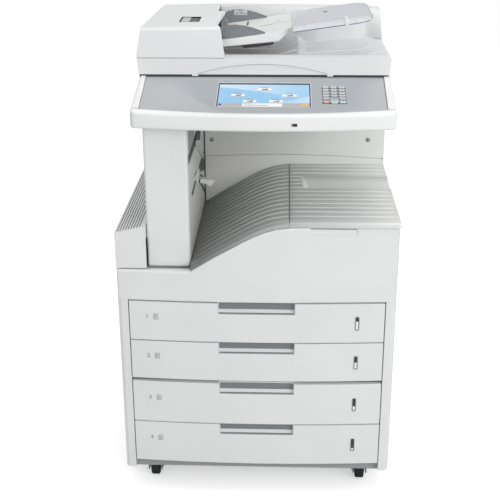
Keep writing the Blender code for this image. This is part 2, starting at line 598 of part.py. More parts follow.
ON_SLOPE = mm((TOP_X, KEYPAD_Y, on_fascia(TOP_X, KEYPAD_Y)))
TILT = Matrix.Translation(ON_SLOPE) @ Matrix.Rotation(FASCIA_TILT, 4, 'X')
KEYS = []
names = (("key_1", "key_2", "key_3"), ("key_4", "key_5", "key_6"), ("key_7", "key_8", "key_9"),
         ("key_star", "key_0", "key_hash"))
for row, s in zip(names, KEY_ROWS):
    for nm, u in zip(row, KEY_COLS):
        KEYS.append((nm, u, s, KEY_W, KEY_H, (0.62, 0.64, 0.66)))
KEYS.append(("key_clear", KEY_COLS[0], KEY_ROW5, KEY_W, KEY_H, (0.62, 0.64, 0.66)))
KEYS.append(("key_pause", KEY_COLS[2], KEY_ROW5, KEY_W, KEY_H, (0.62, 0.64, 0.66)))
KEYS.append(("key_stop", KEY_COLS[0], KEY_ROW6, KEY_W, 11.0, (0.62, 0.16, 0.14)))
KEYS.append(("key_start", KEY_COLS[1], KEY_ROW6 - 0.8, 15.0, 12.6, (0.45, 0.72, 0.66)))
KEYS.append(("key_help", KEY_COLS[2], KEY_ROW6, KEY_W, 11.0, (0.62, 0.64, 0.66)))
holes = [(u - w / 2 - 0.5, u + w / 2 + 0.5, s - 0.5, s + h + 0.5, -20, 20) for nm, u, s, w, h, c in KEYS]
holes.append((-102.0, 104.0, 16.6, 134.5, -20, 20))
cut(fascia, cutter_boxes("panel_openings", holes, turn=TILT))
for nm, u, s, w, h, c in KEYS:
    bm = bmesh.new()
    box_into(bm, u - w / 2, u + w / 2, s, s + h, -7.0, 1.6, turn=TILT)
    mid = TILT @ mm((u, s + h / 2, 0.0))
    add(nm, bm, colour=c, origin=tuple(v * 1000.0 for v in mid))
bm = bmesh.new()
box_into(bm, -101.0, 103.0, 17.6, 133.5, -9.0, -1.0, turn=TILT)
add("touch_screen", bm, colour=(0.35, 0.55, 0.75), rough=0.1)
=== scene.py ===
"""Looks of the photocopier: moulded plastics, zinc, glass, the lit display and the small surface details.

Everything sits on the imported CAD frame. Lengths are in millimetres and mm() converts them. x runs to the
right, y to the back and z up. Every piece rides on one of the frame's bodies and moves with it.
"""
import math

import bmesh
import bpy
from mathutils import Matrix, Vector


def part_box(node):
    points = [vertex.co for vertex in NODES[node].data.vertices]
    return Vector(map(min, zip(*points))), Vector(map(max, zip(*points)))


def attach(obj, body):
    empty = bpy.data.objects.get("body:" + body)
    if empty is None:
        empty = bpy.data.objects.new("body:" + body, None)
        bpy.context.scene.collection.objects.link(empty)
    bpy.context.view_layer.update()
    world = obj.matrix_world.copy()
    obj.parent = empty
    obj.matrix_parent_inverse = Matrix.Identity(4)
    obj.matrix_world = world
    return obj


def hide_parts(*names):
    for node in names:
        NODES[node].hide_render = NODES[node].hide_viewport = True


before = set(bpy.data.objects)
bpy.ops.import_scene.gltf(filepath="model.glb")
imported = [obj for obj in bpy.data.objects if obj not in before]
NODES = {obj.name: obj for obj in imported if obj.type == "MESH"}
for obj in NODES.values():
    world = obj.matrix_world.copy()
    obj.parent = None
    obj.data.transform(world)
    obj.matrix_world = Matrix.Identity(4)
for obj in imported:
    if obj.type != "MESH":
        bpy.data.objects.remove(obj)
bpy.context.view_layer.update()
SCENE = bpy.context.scene

# -------------------- the frame's own measures, mm


def mm(*p):
    """Point given in millimetres, as three numbers or as one sequence, in metres."""
    if len(p) == 1:
        p = p[0]
    return Vector((p[0] / 1000.0, p[1] / 1000.0, p[2] / 1000.0))


def box_mm(node):
    """Lowest and highest corner of a CAD node in millimetres: x0, x1, y0, y1, z0, z1."""
    lo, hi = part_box(node)
    return (lo.x * 1000, hi.x * 1000, lo.y * 1000, hi.y * 1000, lo.z * 1000, hi.z * 1000)


PANEL_X0, PANEL_X1, PANEL_FRONT, PANEL_BACK, PANEL_Z0, _ = box_mm("panel_housing")
FASCIA_X0, FASCIA_X1, FASCIA_Y0, _, _, _ = box_mm("panel_fascia")
TOP_X = (PANEL_X0 + PANEL_X1) / 2       # middle of the scanner unit
FASCIA_TILT = math.radians(12.6)
FASCIA_Z = 974.2                        # height of the fascia's top at its foremost point
FASCIA_BOW = 15.5                       # how far its front edge curves back at the ends
PANEL_LIP = 975.4                       # top of the white rim in front of it
PANEL_BOW = 25.0
KEYPAD_Y = -284.5                       # keys and screen are placed by their distance up the slope from here
FEED_SLOPE = 0.14                       # rise of the document tray per unit of length
FEED_X0 = -88.0
FEED_Z0 = 1090.0
RIB_Y = 144.0                           # rearmost rib of the sheet tray and the distance between ribs
RIB_STEP = 30.46


def on_fascia(y):
    return FASCIA_Z + (y - FASCIA_Y0) * math.tan(FASCIA_TILT)


def feed_z(x):
    return FEED_Z0 + FEED_SLOPE * (x - FEED_X0)


PANEL = Matrix.Translation(mm(TOP_X, KEYPAD_Y, on_fascia(KEYPAD_Y))) @ Matrix.Rotation(FASCIA_TILT, 4, 'X')
FEED = Matrix.Translation(mm(FEED_X0, 0.0, FEED_Z0)) @ Matrix.Rotation(-math.atan(FEED_SLOPE), 4, 'Y')


def local_box(node, turn):
    """x0, x1, y0, y1, z0, z1 of a CAD node in the turned frame, in millimetres."""
    inverse = turn.inverted()
    pts = [inverse @ v.co * 1000.0 for v in NODES[node].data.vertices]
    out = []
    for axis in range(3):
        values = [p[axis] for p in pts]
        out += [min(values), max(values)]
    return out


# -------------------- materials


def linear(rgb):
    """Display colour, 0 to 255, as the linear values that shaders use."""
    out = []
    for c in rgb:
        c = c / 255.0
        out.append(c / 12.92 if c <= 0.04045 else ((c + 0.055) / 1.055) ** 2.4)
    return tuple(out)


class Finish:
    """A material and short names for the nodes it is made of."""

    def __init__(self, name):
        self.mat = bpy.data.materials.new(name)
        self.mat.use_nodes = True
        self.tree = self.mat.node_tree
        self.bsdf = self.tree.nodes["Principled BSDF"]
        self.coord = self.tree.nodes.new("ShaderNodeTexCoord").outputs["Object"]

    def feed(self, socket, value):
        """Give a socket a number, a colour, a vector or another node's output."""
        if isinstance(value, (int, float)):
            socket.default_value = value
        elif isinstance(value, tuple):
            socket.default_value = value if len(socket.default_value) == len(value) else (*value, 1.0)
        else:
            self.tree.links.new(value, socket)

    def set(self, name, value):
        self.feed(self.bsdf.inputs[name], value)

    def node(self, kind, inputs, **settings):
        """A new node with its settings, and its inputs fed by name or number."""
        node = self.tree.nodes.new("ShaderNode" + kind)
        for name, value in settings.items():
            setattr(node, name, value)
        for name, value in inputs.items():
            self.feed(node.inputs[name], value)
        return node

    def math(self, operation, a, b=0.0, clamp=False):
        return self.node("Math", {0: a, 1: b}, operation=operation, use_clamp=clamp).outputs[0]

    def axes(self):
        return self.node("SeparateXYZ", {0: self.coord}).outputs

    def noise(self, scale, detail=2.0, stretch=None):
        where = self.coord
        if stretch is not None:
            where = self.node("Mapping", {"Scale": stretch, "Vector": where}).outputs["Vector"]
        return self.node("TexNoise", {"Scale": scale, "Detail": detail, "Vector": where}).outputs["Fac"]

    def span(self, source, low, high, a=0.0, b=1.0):
        """Map low..high of a value to a..b, clamped."""
        inputs = {"From Min": low, "From Max": high, "To Min": a, "To Max": b, "Value": source}
        return self.node("MapRange", inputs).outputs["Result"]

    def mix(self, share, a, b):
        return self.node("Mix", {0: share, 6: a, 7: b}, data_type='RGBA').outputs[2]

    def bump(self, height, strength, distance):
        node = self.node("Bump", {"Strength": strength, "Distance": distance, "Height": height})
        self.set("Normal", node.outputs["Normal"])

    def worn_edges(self, colour, amount):
        """Convex edges a little paler, picked out by the mesh's pointiness."""
        share = self.span(self.node("NewGeometry", {}).outputs["Pointiness"], 0.53, 0.62, 0.0, amount)
        pale = self.mix(0.5, colour, (1.0, 1.0, 1.0)) if isinstance(colour, tuple) else (0.9, 0.9, 0.9)
        return self.mix(share, colour, pale)


def plastic(name, rgb, rough=0.42, grain=0.06, tone=0.03, grain_scale=2600.0, coat=0.0):
    """Moulded plastic: fine spark-eroded grain, slow tone drift, uneven gloss and paler convex edges."""
    f = Finish(name)
    base = linear(rgb)
    dark = tuple(c * (1.0 - tone) for c in base)
    drift = f.mix(f.span(f.noise(7.0, 3.0), 0.35, 0.65), dark, base)
    f.set("Base Color", f.worn_edges(drift, 0.15))
    f.set("Roughness", f.span(f.noise(22.0, 4.0), 0.3, 0.7, rough - 0.05, rough + 0.06))
    f.bump(f.noise(grain_scale, 1.0), grain, 0.0003)
    f.set("Coat Weight", coat)
    f.set("Specular IOR Level", 0.42)
    return f.mat


def metal(name, rgb, rough=0.3, stretch=(4.0, 400.0, 400.0)):
    """Zinc-plated or brushed metal with fine lines along one direction."""
    f = Finish(name)
    base = linear(rgb)
    dark = tuple(c * 0.8 for c in base)
    lines = f.noise(3.0, 4.0, stretch)
    f.set("Base Color", f.mix(f.span(lines, 0.3, 0.7), dark, base))
    f.set("Metallic", 1.0)
    f.set("Roughness", f.span(lines, 0.3, 0.7, rough - 0.08, rough + 0.12))
    f.bump(lines, 0.08, 0.0004)
    return f.mat


def rubber(name, rgb):
    """Rubber with dusty patches."""
    f = Finish(name)
    base = linear(rgb)
    dusty = tuple(min(1.0, c * 1.6 + 0.006) for c in base)
    f.set("Base Color", f.mix(f.span(f.noise(60.0, 5.0), 0.45, 0.75), base, dusty))
    f.set("Roughness", 0.72)
    f.bump(f.noise(900.0, 2.0), 0.2, 0.0005)
    return f.mat


def glass(name, rgb, alpha, rough=0.04):
    f = Finish(name)
    base = linear(rgb)
    pale = tuple(min(1.0, c * 1.08) for c in base)
    f.set("Base Color", f.mix(f.noise(3.0, 2.0), base, pale))
    f.set("Roughness", rough)
    f.set("Alpha", alpha)
    f.bump(f.noise(5.0, 1.0), 0.02, 0.001)
    return f.mat


def lit(name, rgb, strength=1.0, spread=0.0):
    """A self-lit area of the display or a lamp, its brightness drifting by spread."""
    f = Finish(name)
    base = linear(rgb)
    dim = tuple(c * (1.0 - spread) for c in base)
    f.set("Base Color", (0.01, 0.01, 0.01))
    f.set("Emission Color", f.mix(f.noise(60.0, 2.0), dim, base))
    f.set("Emission Strength", strength)
    f.set("Roughness", 0.25)
    return f.mat


def display_picture():
    """Blue desktop with two pale sweeps, in the panel's own coordinates."""
    f = Finish("display_picture")
    x, y, _ = f.axes()
    across = f.span(x, -0.101, 0.103)
    up = f.span(y, 0.0176, 0.1335)
    fall = f.math('MULTIPLY', f.math('POWER', across, 1.3), 0.55)
    edge = f.math('SUBTRACT', 0.86, fall)
    sweep = f.math('MULTIPLY', f.span(f.math('SUBTRACT', up, edge), -0.02, 0.03),
                   f.span(across, 0.0, 0.9, 0.75, 0.15))
    low_edge = f.math('MULTIPLY', f.math('POWER', across, 2.2), 0.5)
    low = f.math('MULTIPLY', f.span(f.math('SUBTRACT', low_edge, up), -0.02, 0.04),
                 f.span(across, 0.4, 1.0, 0.0, 0.55))
    glow = f.math('MAXIMUM', sweep, low, clamp=True)
    blue = f.mix(f.noise(40.0, 1.0), linear((140, 194, 231)), linear((152, 201, 236)))
    f.set("Base Color", (0.01, 0.012, 0.015))
    f.set("Emission Color", f.mix(glow, blue, linear((226, 240, 250))))
    f.set("Emission Strength", 0.97)
    f.set("Roughness", 0.22)
    return f.mat


def tray_plastic(name, rgb):
    """Sheet tray: painted shade greys the slope that lies in the bay's own shade and gives way to painted
    light further right; painted highlights run along the ribs, and the finger trough has painted shade and a
    painted highlight.
    """
    f = Finish(name)
    x, y, _ = f.axes()
    base = linear(rgb)
    # painted shade: the slope falls to a third of its colour on the left and rises to painted light on the
    # right
    shade = tuple(c * 0.34 for c in base)
    slope = f.mix(f.span(x, -0.13, 0.10), shade, base)
    drift = f.mix(f.span(x, 0.08, 0.30), slope, linear((232, 233, 232)))
    # painted highlights along the rib tops, stronger towards the right and left out of the finger trough
    off_rib = f.math('PINGPONG', f.math('SUBTRACT', y, RIB_Y / 1000.0), RIB_STEP / 2000.0)
    rib = f.math('MULTIPLY', f.span(off_rib, 0.0014, 0.0026, 1.0, 0.0), f.span(x, -0.10, 0.05, 0.25, 0.8))
    lengthwise = f.math('MULTIPLY', f.span(y, -0.043, -0.040), f.span(y, 0.0555, 0.0585, 1.0, 0.0))
    trough = f.math('MULTIPLY', lengthwise, f.span(x, 0.107, 0.111))
    rib = f.math('MULTIPLY', rib, f.math('SUBTRACT', 1.0, trough))
    # finger trough: painted shade darkening it towards its top edge and a painted highlight on its left wall
    depth = f.mix(f.span(y, 0.058, 0.020), linear((196, 198, 197)), linear((236, 237, 236)))
    fold = f.math('ADD', y, f.math('MULTIPLY', f.math('SUBTRACT', x, 0.109), 6.2))
    wall = f.span(fold, 0.055, 0.059, 1.0, 0.0)
    hollow = f.mix(f.math('MULTIPLY', trough, 0.85), drift, f.mix(wall, depth, (1.0, 1.0, 1.0)))
    # the ribs' painted highlights laid over the rest
    rib_highlights = f.mix(rib, hollow, linear((240, 240, 238)))
    f.set("Base Color", f.mix(f.span(f.noise(9.0, 3.0), 0.35, 0.65, 0.0, 0.06), rib_highlights, (0.3, 0.3, 0.3)))
    f.set("Roughness", f.span(f.noise(30.0, 4.0), 0.3, 0.7, 0.34, 0.5))
    f.bump(f.noise(2600.0, 1.0), 0.05, 0.0003)
    return f.mat


WHITE = plastic("white_plastic", (233, 234, 234))
BUMPER = plastic("bumper_white", (241, 242, 242), rough=0.36, grain=0.03)
SHADE = plastic("shade_plastic", (218, 219, 217), rough=0.5)
BAY = plastic("bay_plastic", (236, 237, 235), rough=0.5)
SLATE = plastic("slate_fascia", (168, 173, 177), rough=0.5, grain=0.05)
GUIDE = plastic("guide_grey", (122, 128, 132), rough=0.45)
DARK = plastic("dark_plastic", (38, 40, 43), rough=0.4)
INK = plastic("dark_gap", (13, 14, 15), rough=0.9)
MARK = plastic("grey_mark", (92, 95, 98), rough=0.5)
SILVER = plastic("silver_trim", (202, 205, 207), rough=0.28, coat=0.3)
STEEL = metal("zinc_steel", (190, 192, 196))
BRASS = metal("contact_brass", (196, 166, 96), rough=0.3)
FRAME_METAL = plastic("frame_grey", (150, 152, 154), rough=0.4, grain=0.02)
BLACK = rubber("black_rubber", (28, 28, 29))
# sheet tray, its colour carrying painted shade, painted light and painted highlights
TRAY = tray_plastic("tray_plastic", (196, 198, 197))
PAPER = plastic("paper_stack", (246, 246, 243), rough=0.9, grain=0.2, grain_scale=900.0)
GLASS = glass("platen_glass_clear", (176, 200, 198), 0.45)
SMOKE = glass("smoke_plastic", (212, 214, 220), 0.84, rough=0.22)
PAD = plastic("pad_foam", (240, 240, 238), rough=0.85, grain=0.4, grain_scale=700.0)
DRUM = plastic("drum_coat", (60, 128, 128), rough=0.12, grain=0.0, coat=0.6)
KEY_GREY = plastic("key_grey", (200, 203, 205), rough=0.4)
KEY_RED = plastic("key_red", (206, 142, 128), rough=0.4)
KEY_TEAL = plastic("key_teal", (190, 226, 218), rough=0.4)
# painted shade: a slightly darker copy of the white for the column's face towards the bay
COLUMN_SHADE = plastic("column_shade_grey", (222, 223, 221), rough=0.5)
RIM = plastic("rim_clear", (226, 228, 232), rough=0.25)
SLATE_BLUE = plastic("slate_blue", (84, 94, 126), rough=0.3)
GREEN = plastic("release_green", (70, 140, 96), rough=0.4)
DISPLAY = display_picture()
SCREEN_LIGHT = lit("screen_light", (240, 242, 243), 1.0, 0.05)
SCREEN_GREY = lit("screen_grey", (178, 177, 178), 1.0, 0.03)
SCREEN_DARK = lit("screen_dark", (96, 98, 102), 1.0, 0.1)
SCREEN_BLUE = lit("screen_blue", (52, 84, 150), 1.0, 0.1)
SCREEN_AMBER = lit("screen_amber", (236, 190, 88), 1.0, 0.1)
LED = lit("led_green", (176, 205, 48), 1.1, 0.05)

# -------------------- mesh tools

HARD_EDGE = math.radians(50.0)          # steeper edges stay sharp in the shading
NODE_BEVEL_ANGLE = 11.0                 # degrees from which an edge of a CAD node is rounded
PIECE_BEVEL_ANGLE = 25.0
FLAT_ANGLE = math.radians(0.6)          # faces this close to one plane are joined before rounding


def shading_group():
    """Node group that drops imported normals, shades everything smooth and keeps steep edges sharp."""
    group = bpy.data.node_groups.new("shade_by_angle", 'GeometryNodeTree')
    for way in ('INPUT', 'OUTPUT'):
        group.interface.new_socket("Geometry", in_out=way, socket_type='NodeSocketGeometry')
    add = group.nodes.new
    link = group.links.new
    drop = add('GeometryNodeRemoveAttribute')
    drop.inputs["Name"].default_value = "custom_normal"
    flat = add('FunctionNodeCompare')
    flat.data_type = 'FLOAT'
    flat.operation = 'LESS_THAN'
    flat.inputs[1].default_value = HARD_EDGE
    faces = add('GeometryNodeSetShadeSmooth')
    faces.inputs["Shade Smooth"].default_value = True
    edges = add('GeometryNodeSetShadeSmooth')
    edges.domain = 'EDGE'
    link(add('NodeGroupInput').outputs[0], drop.inputs["Geometry"])
    link(drop.outputs["Geometry"], faces.inputs["Geometry"])
    link(faces.outputs["Geometry"], edges.inputs["Geometry"])
    link(add('GeometryNodeInputMeshEdgeAngle').outputs["Unsigned Angle"], flat.inputs[0])
    link(flat.outputs["Result"], edges.inputs["Shade Smooth"])
    link(edges.outputs["Geometry"], add('NodeGroupOutput').inputs[0])
    return group


SHADE_BY_ANGLE = shading_group()


def soften(ob, width, segments, angle):
    """Rounded edges of the given width in mm, then shading that keeps the flats flat."""
    if width > 0:
        mod = ob.modifiers.new("edge", 'BEVEL')
        mod.width = width / 1000.0
        mod.segments = segments
        mod.limit_method = 'ANGLE'
        mod.angle_limit = math.radians(angle)
        mod.miter_outer = 'MITER_ARC'
    mod = ob.modifiers.new("shading", 'NODES')
    mod.node_group = SHADE_BY_ANGLE
    mod = ob.modifiers.new("flats", 'WEIGHTED_NORMAL')
    mod.keep_sharp = True


def dress(node, mat, width, segments=2, angle=NODE_BEVEL_ANGLE, join_flats=True):
    """Give a CAD node its finish and its rounded edges. A face full of slots isn't joined up first."""
    ob = NODES[node]
    ob.data.materials.clear()
    ob.data.materials.append(mat)
    for p in ob.data.polygons:
        p.material_index = 0
    weld = ob.modifiers.new("weld", 'WELD')
    weld.merge_threshold = 1e-5
    if join_flats:
        flat = ob.modifiers.new("flat", 'DECIMATE')
        flat.decimate_type = 'DISSOLVE'
        flat.angle_limit = FLAT_ANGLE
    soften(ob, width, segments, angle)


def rounded(x0, x1, y0, y1, r, steps=4):
    """Outline of a rounded rectangle."""
    pts = []
    for cx, cy, start in ((x1 - r, y1 - r, 0), (x0 + r, y1 - r, 90), (x0 + r, y0 + r, 180),
                          (x1 - r, y0 + r, 270)):
        for k in range(steps + 1):
            a = math.radians(start + 90.0 * k / steps)
            pts.append((cx + r * math.cos(a), cy + r * math.sin(a)))
    return pts


def circle(cx, cy, r, steps=20):
    return [(cx + r * math.cos(2 * math.pi * k / steps), cy + r * math.sin(2 * math.pi * k / steps))
            for k in range(steps)]


def place(axis, a, b, at):
    """The point (a, b) of an outline, at the given position along the axis it is extruded on."""
    if axis == 'X':
        return mm(at, a, b)
    if axis == 'Y':
        return mm(a, at, b)
    return mm(a, b, at)


class Shapes:
    """Closed shapes gathered in one mesh, in millimetres. piece() finishes them and starts afresh."""

    def __init__(self):
        self.bm = bmesh.new()

    def tube(self, rows):
        """Close rings of vertices one after the other and cap both ends."""
        n = len(rows[0])
        for a, b in zip(rows, rows[1:]):
            for i in range(n):
                j = (i + 1) % n
                self.bm.faces.new((a[i], a[j], b[j], b[i]))
        self.bm.faces.new(rows[0])
        self.bm.faces.new(list(reversed(rows[-1])))

    def box(self, x0, x1, y0, y1, z0, z1):
        m = Matrix.Translation(mm((x0 + x1) / 2, (y0 + y1) / 2, (z0 + z1) / 2))
        size = mm(x1 - x0, y1 - y0, z1 - z0)
        bmesh.ops.create_cube(self.bm, size=1.0, matrix=m @ Matrix.Diagonal((*size, 1.0)))

    def slab(self, outline, axis, a0, a1, inset=0.0):
        """Flat outline extruded along an axis; inset draws the far end in towards its middle."""
        ca = sum(p[0] for p in outline) / len(outline)
        cb = sum(p[1] for p in outline) / len(outline)
        near = [self.bm.verts.new(place(axis, a, b, a0)) for a, b in outline]
        far = []
        for a, b in outline:
            length = math.hypot(a - ca, b - cb)
            k = max(0.0, 1.0 - inset / length) if length > 0 else 1.0
            far.append(self.bm.verts.new(place(axis, ca + (a - ca) * k, cb + (b - cb) * k, a1)))
        self.tube([near, far])

    def plate(self, x0, x1, y0, y1, r, axis, a0, a1, inset=0.0, steps=4):
        """Slab with the outline of a rounded rectangle."""
        self.slab(rounded(x0, x1, y0, y1, r, steps), axis, a0, a1, inset)

    def ring(self, outer, inner, axis, a0, a1):
        """Flat frame between two outlines with the same number of points, extruded along an axis."""
        n = len(outer)
        rows = [[self.bm.verts.new(place(axis, a, b, at)) for a, b in line]
                for line, at in ((outer, a0), (outer, a1), (inner, a1), (inner, a0))]
        for r in range(4):
            near, far = rows[r], rows[(r + 1) % 4]
            for i in range(n):
                j = (i + 1) % n
                self.bm.faces.new((near[i], near[j], far[j], far[i]))

    def border(self, x0, x1, y0, y1, r, wide, inner_r, axis, a0, a1, steps=4):
        """Frame of even width round a rounded rectangle."""
        self.ring(rounded(x0, x1, y0, y1, r, steps),
                  rounded(x0 + wide, x1 - wide, y0 + wide, y1 - wide, inner_r, steps), axis, a0, a1)

    def turned(self, profile, centre, axis, steps=24):
        """Solid of revolution from (position along the axis, radius) pairs."""
        rows = []
        along = 'XYZ'.index(axis)
        for at, r in profile:
            rows.append([])
            for a, b in circle(0.0, 0.0, max(r, 0.01), steps):
                offset = [a, b]
                offset.insert(along, at)
                rows[-1].append(self.bm.verts.new(mm([c + d for c, d in zip(centre, offset)])))
        self.tube(rows)

    def loft(self, rings):
        self.tube([[self.bm.verts.new(mm(p)) for p in ring] for ring in rings])

    def sheet(self, outline, low, high):
        """Thin sheet over the document tray; low and high give its faces' height above the tray at x."""
        self.loft([[(x, y, feed_z(x) + rise(x)) for x, y in outline] for rise in (low, high)])

    def screw(self, x, y, z, axis, side, r):
        """Domed cross-head screw whose head stands off a face on the given side of it."""
        profile = [(-0.3 * side, r), (0.5 * side, r), (1.1 * side, r * 0.8), (1.35 * side, r * 0.45)]
        self.turned(profile, (x, y, z), axis, 16)

    def cross(self, x, y, z, axis, side, r):
        """The dark recess of a cross-head screw."""
        at = 1.4 * side
        arm, half = r * 0.62, r * 0.15
        for a, b in ((arm, half), (half, arm)):
            if axis == 'X':
                self.box(x + at - 0.08, x + at + 0.08, y - a, y + a, z - b, z + b)
            else:
                self.box(x - a, x + a, y + at - 0.08, y + at + 0.08, z - b, z + b)

    def piece(self, name, mat, width, body="body", segments=2, turn=None):
        """Finish as a named object on a CAD body, edges rounded by width. turn is its coordinates' frame."""
        bmesh.ops.remove_doubles(self.bm, verts=self.bm.verts, dist=1e-7)
        bmesh.ops.recalc_face_normals(self.bm, faces=self.bm.faces)
        me = bpy.data.meshes.new(name)
        self.bm.to_mesh(me)
        self.bm.free()
        self.bm = bmesh.new()
        me.materials.append(mat)
        ob = bpy.data.objects.new(name, me)
        SCENE.collection.objects.link(ob)
        if turn is not None:
            ob.matrix_world = turn
        soften(ob, width, segments, PIECE_BEVEL_ANGLE)
        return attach(ob, body)


def lettering(name, text, size, mat, body, turn):
    """A generic number or sign as a thin raised mesh, centred on the turned frame's origin."""
    curve = bpy.data.curves.new(name, 'FONT')
    curve.body = text
    curve.size = size / 1000.0
    curve.align_x = 'CENTER'
    curve.align_y = 'CENTER'
    curve.extrude = 0.12 / 1000.0
    curve.resolution_u = 3
    source = bpy.data.objects.new(name + "_source", curve)
    SCENE.collection.objects.link(source)
    bpy.context.view_layer.update()
    me = bpy.data.meshes.new_from_object(source.evaluated_get(bpy.context.evaluated_depsgraph_get()))
    bpy.data.objects.remove(source, do_unlink=True)
    s = Shapes()
    s.bm.from_mesh(me)
    bpy.data.meshes.remove(me)
    return s.piece(name, mat, 0.0, body, turn=turn)


# -------------------- finishes of the CAD nodes

# node, finish, width of its rounded edges in mm, and the angle in degrees from which edges are rounded
FINISHES = (
    ("panel_fascia", SLATE, 0.0, 11), ("touch_screen", DARK, 0.3, 20), ("platen_lid", WHITE, 1.6, 24),
    ("adf_cover", WHITE, 1.6, 25), ("adf_input_tray", WHITE, 1.2, 14),
    ("adf_tray_extension", SMOKE, 0.8, 20), ("guide_front", GUIDE, 0.8, 30),
    ("guide_rear", GUIDE, 0.8, 30), ("adf_roller", BLACK, 0.5, 30), ("scanner_base", WHITE, 1.2, 20),
    ("platen_glass", GLASS, 0.3, 30), ("platen_pad", PAD, 0.8, 30), ("scan_carriage", DARK, 1.0, 30),
    ("lid_hinges", STEEL, 0.4, 30), ("left_column", WHITE, 0.8, 20), ("bay_rear_panel", BAY, 0.6, 20),
    ("bay_lower_panel", BAY, 0.0, 20), ("output_tray_left", TRAY, 0.0, 20),
    ("output_tray_right", TRAY, 0.4, 14), ("exit_roller", BLACK, 0.5, 30),
    ("exit_flag", WHITE, 0.6, 20), ("chassis", FRAME_METAL, 0.5, 30), ("right_cover", WHITE, 1.0, 20),
    ("left_cover", WHITE, 0.5, 20), ("front_door", WHITE, 1.5, 14), ("left_door", WHITE, 1.0, 20),
    ("mp_tray", WHITE, 1.0, 20), ("toner_cartridge", DARK, 1.5, 20),
    ("photoconductor_drum", DRUM, 0.5, 30),
)
for node in NODES:
    if node.startswith("key_"):
        dress(node, {"key_stop": KEY_RED, "key_start": KEY_TEAL}.get(node, KEY_GREY), 1.1, 3, 30.0)
    elif node.startswith("caster_wheel"):
        dress(node, BLACK, 1.0, 2, 30.0)
    elif node.startswith("caster_fork"):
        dress(node, STEEL, 0.5, 2, 30.0)
    elif node.startswith("drawer"):
        dress(node, WHITE, 1.5, 3)
for node, mat, width, angle in FINISHES:
    dress(node, mat, width, angle=angle)
dress("rear_cover", SHADE, 0.0, join_flats=False)

# -------------------- operating panel
s = Shapes()                            # the piece being made; piece() finishes it and starts the next
SEAM_Y = -279.5                         # where the bumper meets the arms
CORNER_R = 15


def bumper_y(x):
    half = (PANEL_X1 - PANEL_X0) / 2
    return PANEL_FRONT + PANEL_BOW * ((x - TOP_X) / half) ** 2


def fascia_edge(x):
    half = (FASCIA_X1 - FASCIA_X0) / 2 - 3.3
    return FASCIA_Y0 + FASCIA_BOW * ((x - TOP_X) / half) ** 2 - 0.7


def panel_top(y):
    if y < FASCIA_Y0:
        return PANEL_LIP
    return PANEL_LIP + (y - FASCIA_Y0) * math.tan(FASCIA_TILT) + 1.5 * min(1, (y - FASCIA_Y0) / 20)


def arm_inner(y):
    """Half width of the fascia's seat at y."""
    return 271.8 + 3.7 * (y + 285.5) / 172


def panel_path():
    """Outer and inner plan points of the white rim, from the left arm's back round to the right arm's."""
    path = []
    for y in (PANEL_BACK, -200, -250, -270, SEAM_Y):
        path.append(((PANEL_X0, y), (TOP_X - arm_inner(y), y)))
    cx = PANEL_X0 + CORNER_R
    cy = bumper_y(cx) + CORNER_R * 0.8
    inner_x = TOP_X - arm_inner(-285.5)
    for k in range(9):
        a = math.radians(180 + 90 * k / 8)
        outer = (cx + CORNER_R * math.cos(a), cy + CORNER_R * 0.8 * math.sin(a))
        path.append((outer, (inner_x, fascia_edge(inner_x))))
    steps = 30
    for k in range(1, steps // 2 + 1):
        x = cx + (TOP_X - cx) * k / (steps // 2)
        xi = max(x, inner_x)
        path.append(((x, bumper_y(x)), (xi, fascia_edge(xi))))
    left = list(path[:-1])
    for (ox, oy), (ix, iy) in reversed(left):
        path.append(((2 * TOP_X - ox, oy), (2 * TOP_X - ix, iy)))
    return path


def panel_ring(outer, inner):
    """Section of the white rim between its outer and inner plan points, rounded top and bottom."""
    o, i = Vector(outer), Vector(inner)
    inward = (i - o).normalized()
    top = panel_top(o.y)
    ring = [(i.x, i.y, PANEL_Z0)]
    for inset, z in ((7, PANEL_Z0), (3, PANEL_Z0 + 0.6), (0.9, PANEL_Z0 + 2.4), (0, PANEL_Z0 + 6),
                     (0, top - 7), (0.4, top - 4.8), (1.2, top - 2.8), (2.4, top - 1.3), (4.2, top - 0.3),
                     (6.2, top)):
        p = o + inward * inset
        ring.append((p.x, p.y, z))
    lip = i - inward * 0.8
    inner_top = panel_top(i.y)
    ring.append((lip.x, lip.y, inner_top))
    ring.append((i.x, i.y, inner_top - 0.8))
    ring.append((i.x, i.y, min(on_fascia(i.y) - 4.6, inner_top - 2)))
    return ring


path = panel_path()
arm_end = 5
s.loft([panel_ring(*p) for p in path[arm_end:-arm_end]])
rim = s.piece("panel_bumper", BUMPER, 0)
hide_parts("panel_housing")
for name, points in (("panel_arm_left", path[:arm_end]), ("panel_arm_right", path[-arm_end:])):
    shifted = [((ox, min(max(oy, SEAM_Y + 0.5), PANEL_BACK)), (ix, min(max(iy, SEAM_Y + 0.5), PANEL_BACK)))
               for (ox, oy), (ix, iy) in points]
    s.loft([panel_ring(*p) for p in shifted])
    s.piece(name, BUMPER, 0)

floor_plan = [(p[1][0], p[1][1]) for p in path]
s.slab(floor_plan, 'Z', PANEL_Z0 + 0.4, PANEL_Z0 + 3.4)
s.piece("panel_floor", BUMPER, 0.4)

# memory-stick socket in the bumper's face
PORT = (75.6, 88.4, 950.8, 957.4)
port_y = bumper_y(82)
s.ring(rounded(*PORT, 0.8, 2), rounded(PORT[0] + 1.3, PORT[1] - 1.3, PORT[2] + 1.2, PORT[3] - 1.2, 0.3, 2),
       'Y', port_y - 0.35, port_y + 1.2)
s.slab(rounded(*PORT, 0.8, 2), 'Y', port_y - 0.12, port_y + 0.6)
s.piece("memory_socket", INK, 0.15)
s.plate(PORT[0] + 2.4, PORT[1] - 2.4, 953, 953.9, 0.2, 'Y', port_y - 0.3, port_y + 0.4, steps=2)
s.piece("memory_socket_tongue", DARK, 0.1)

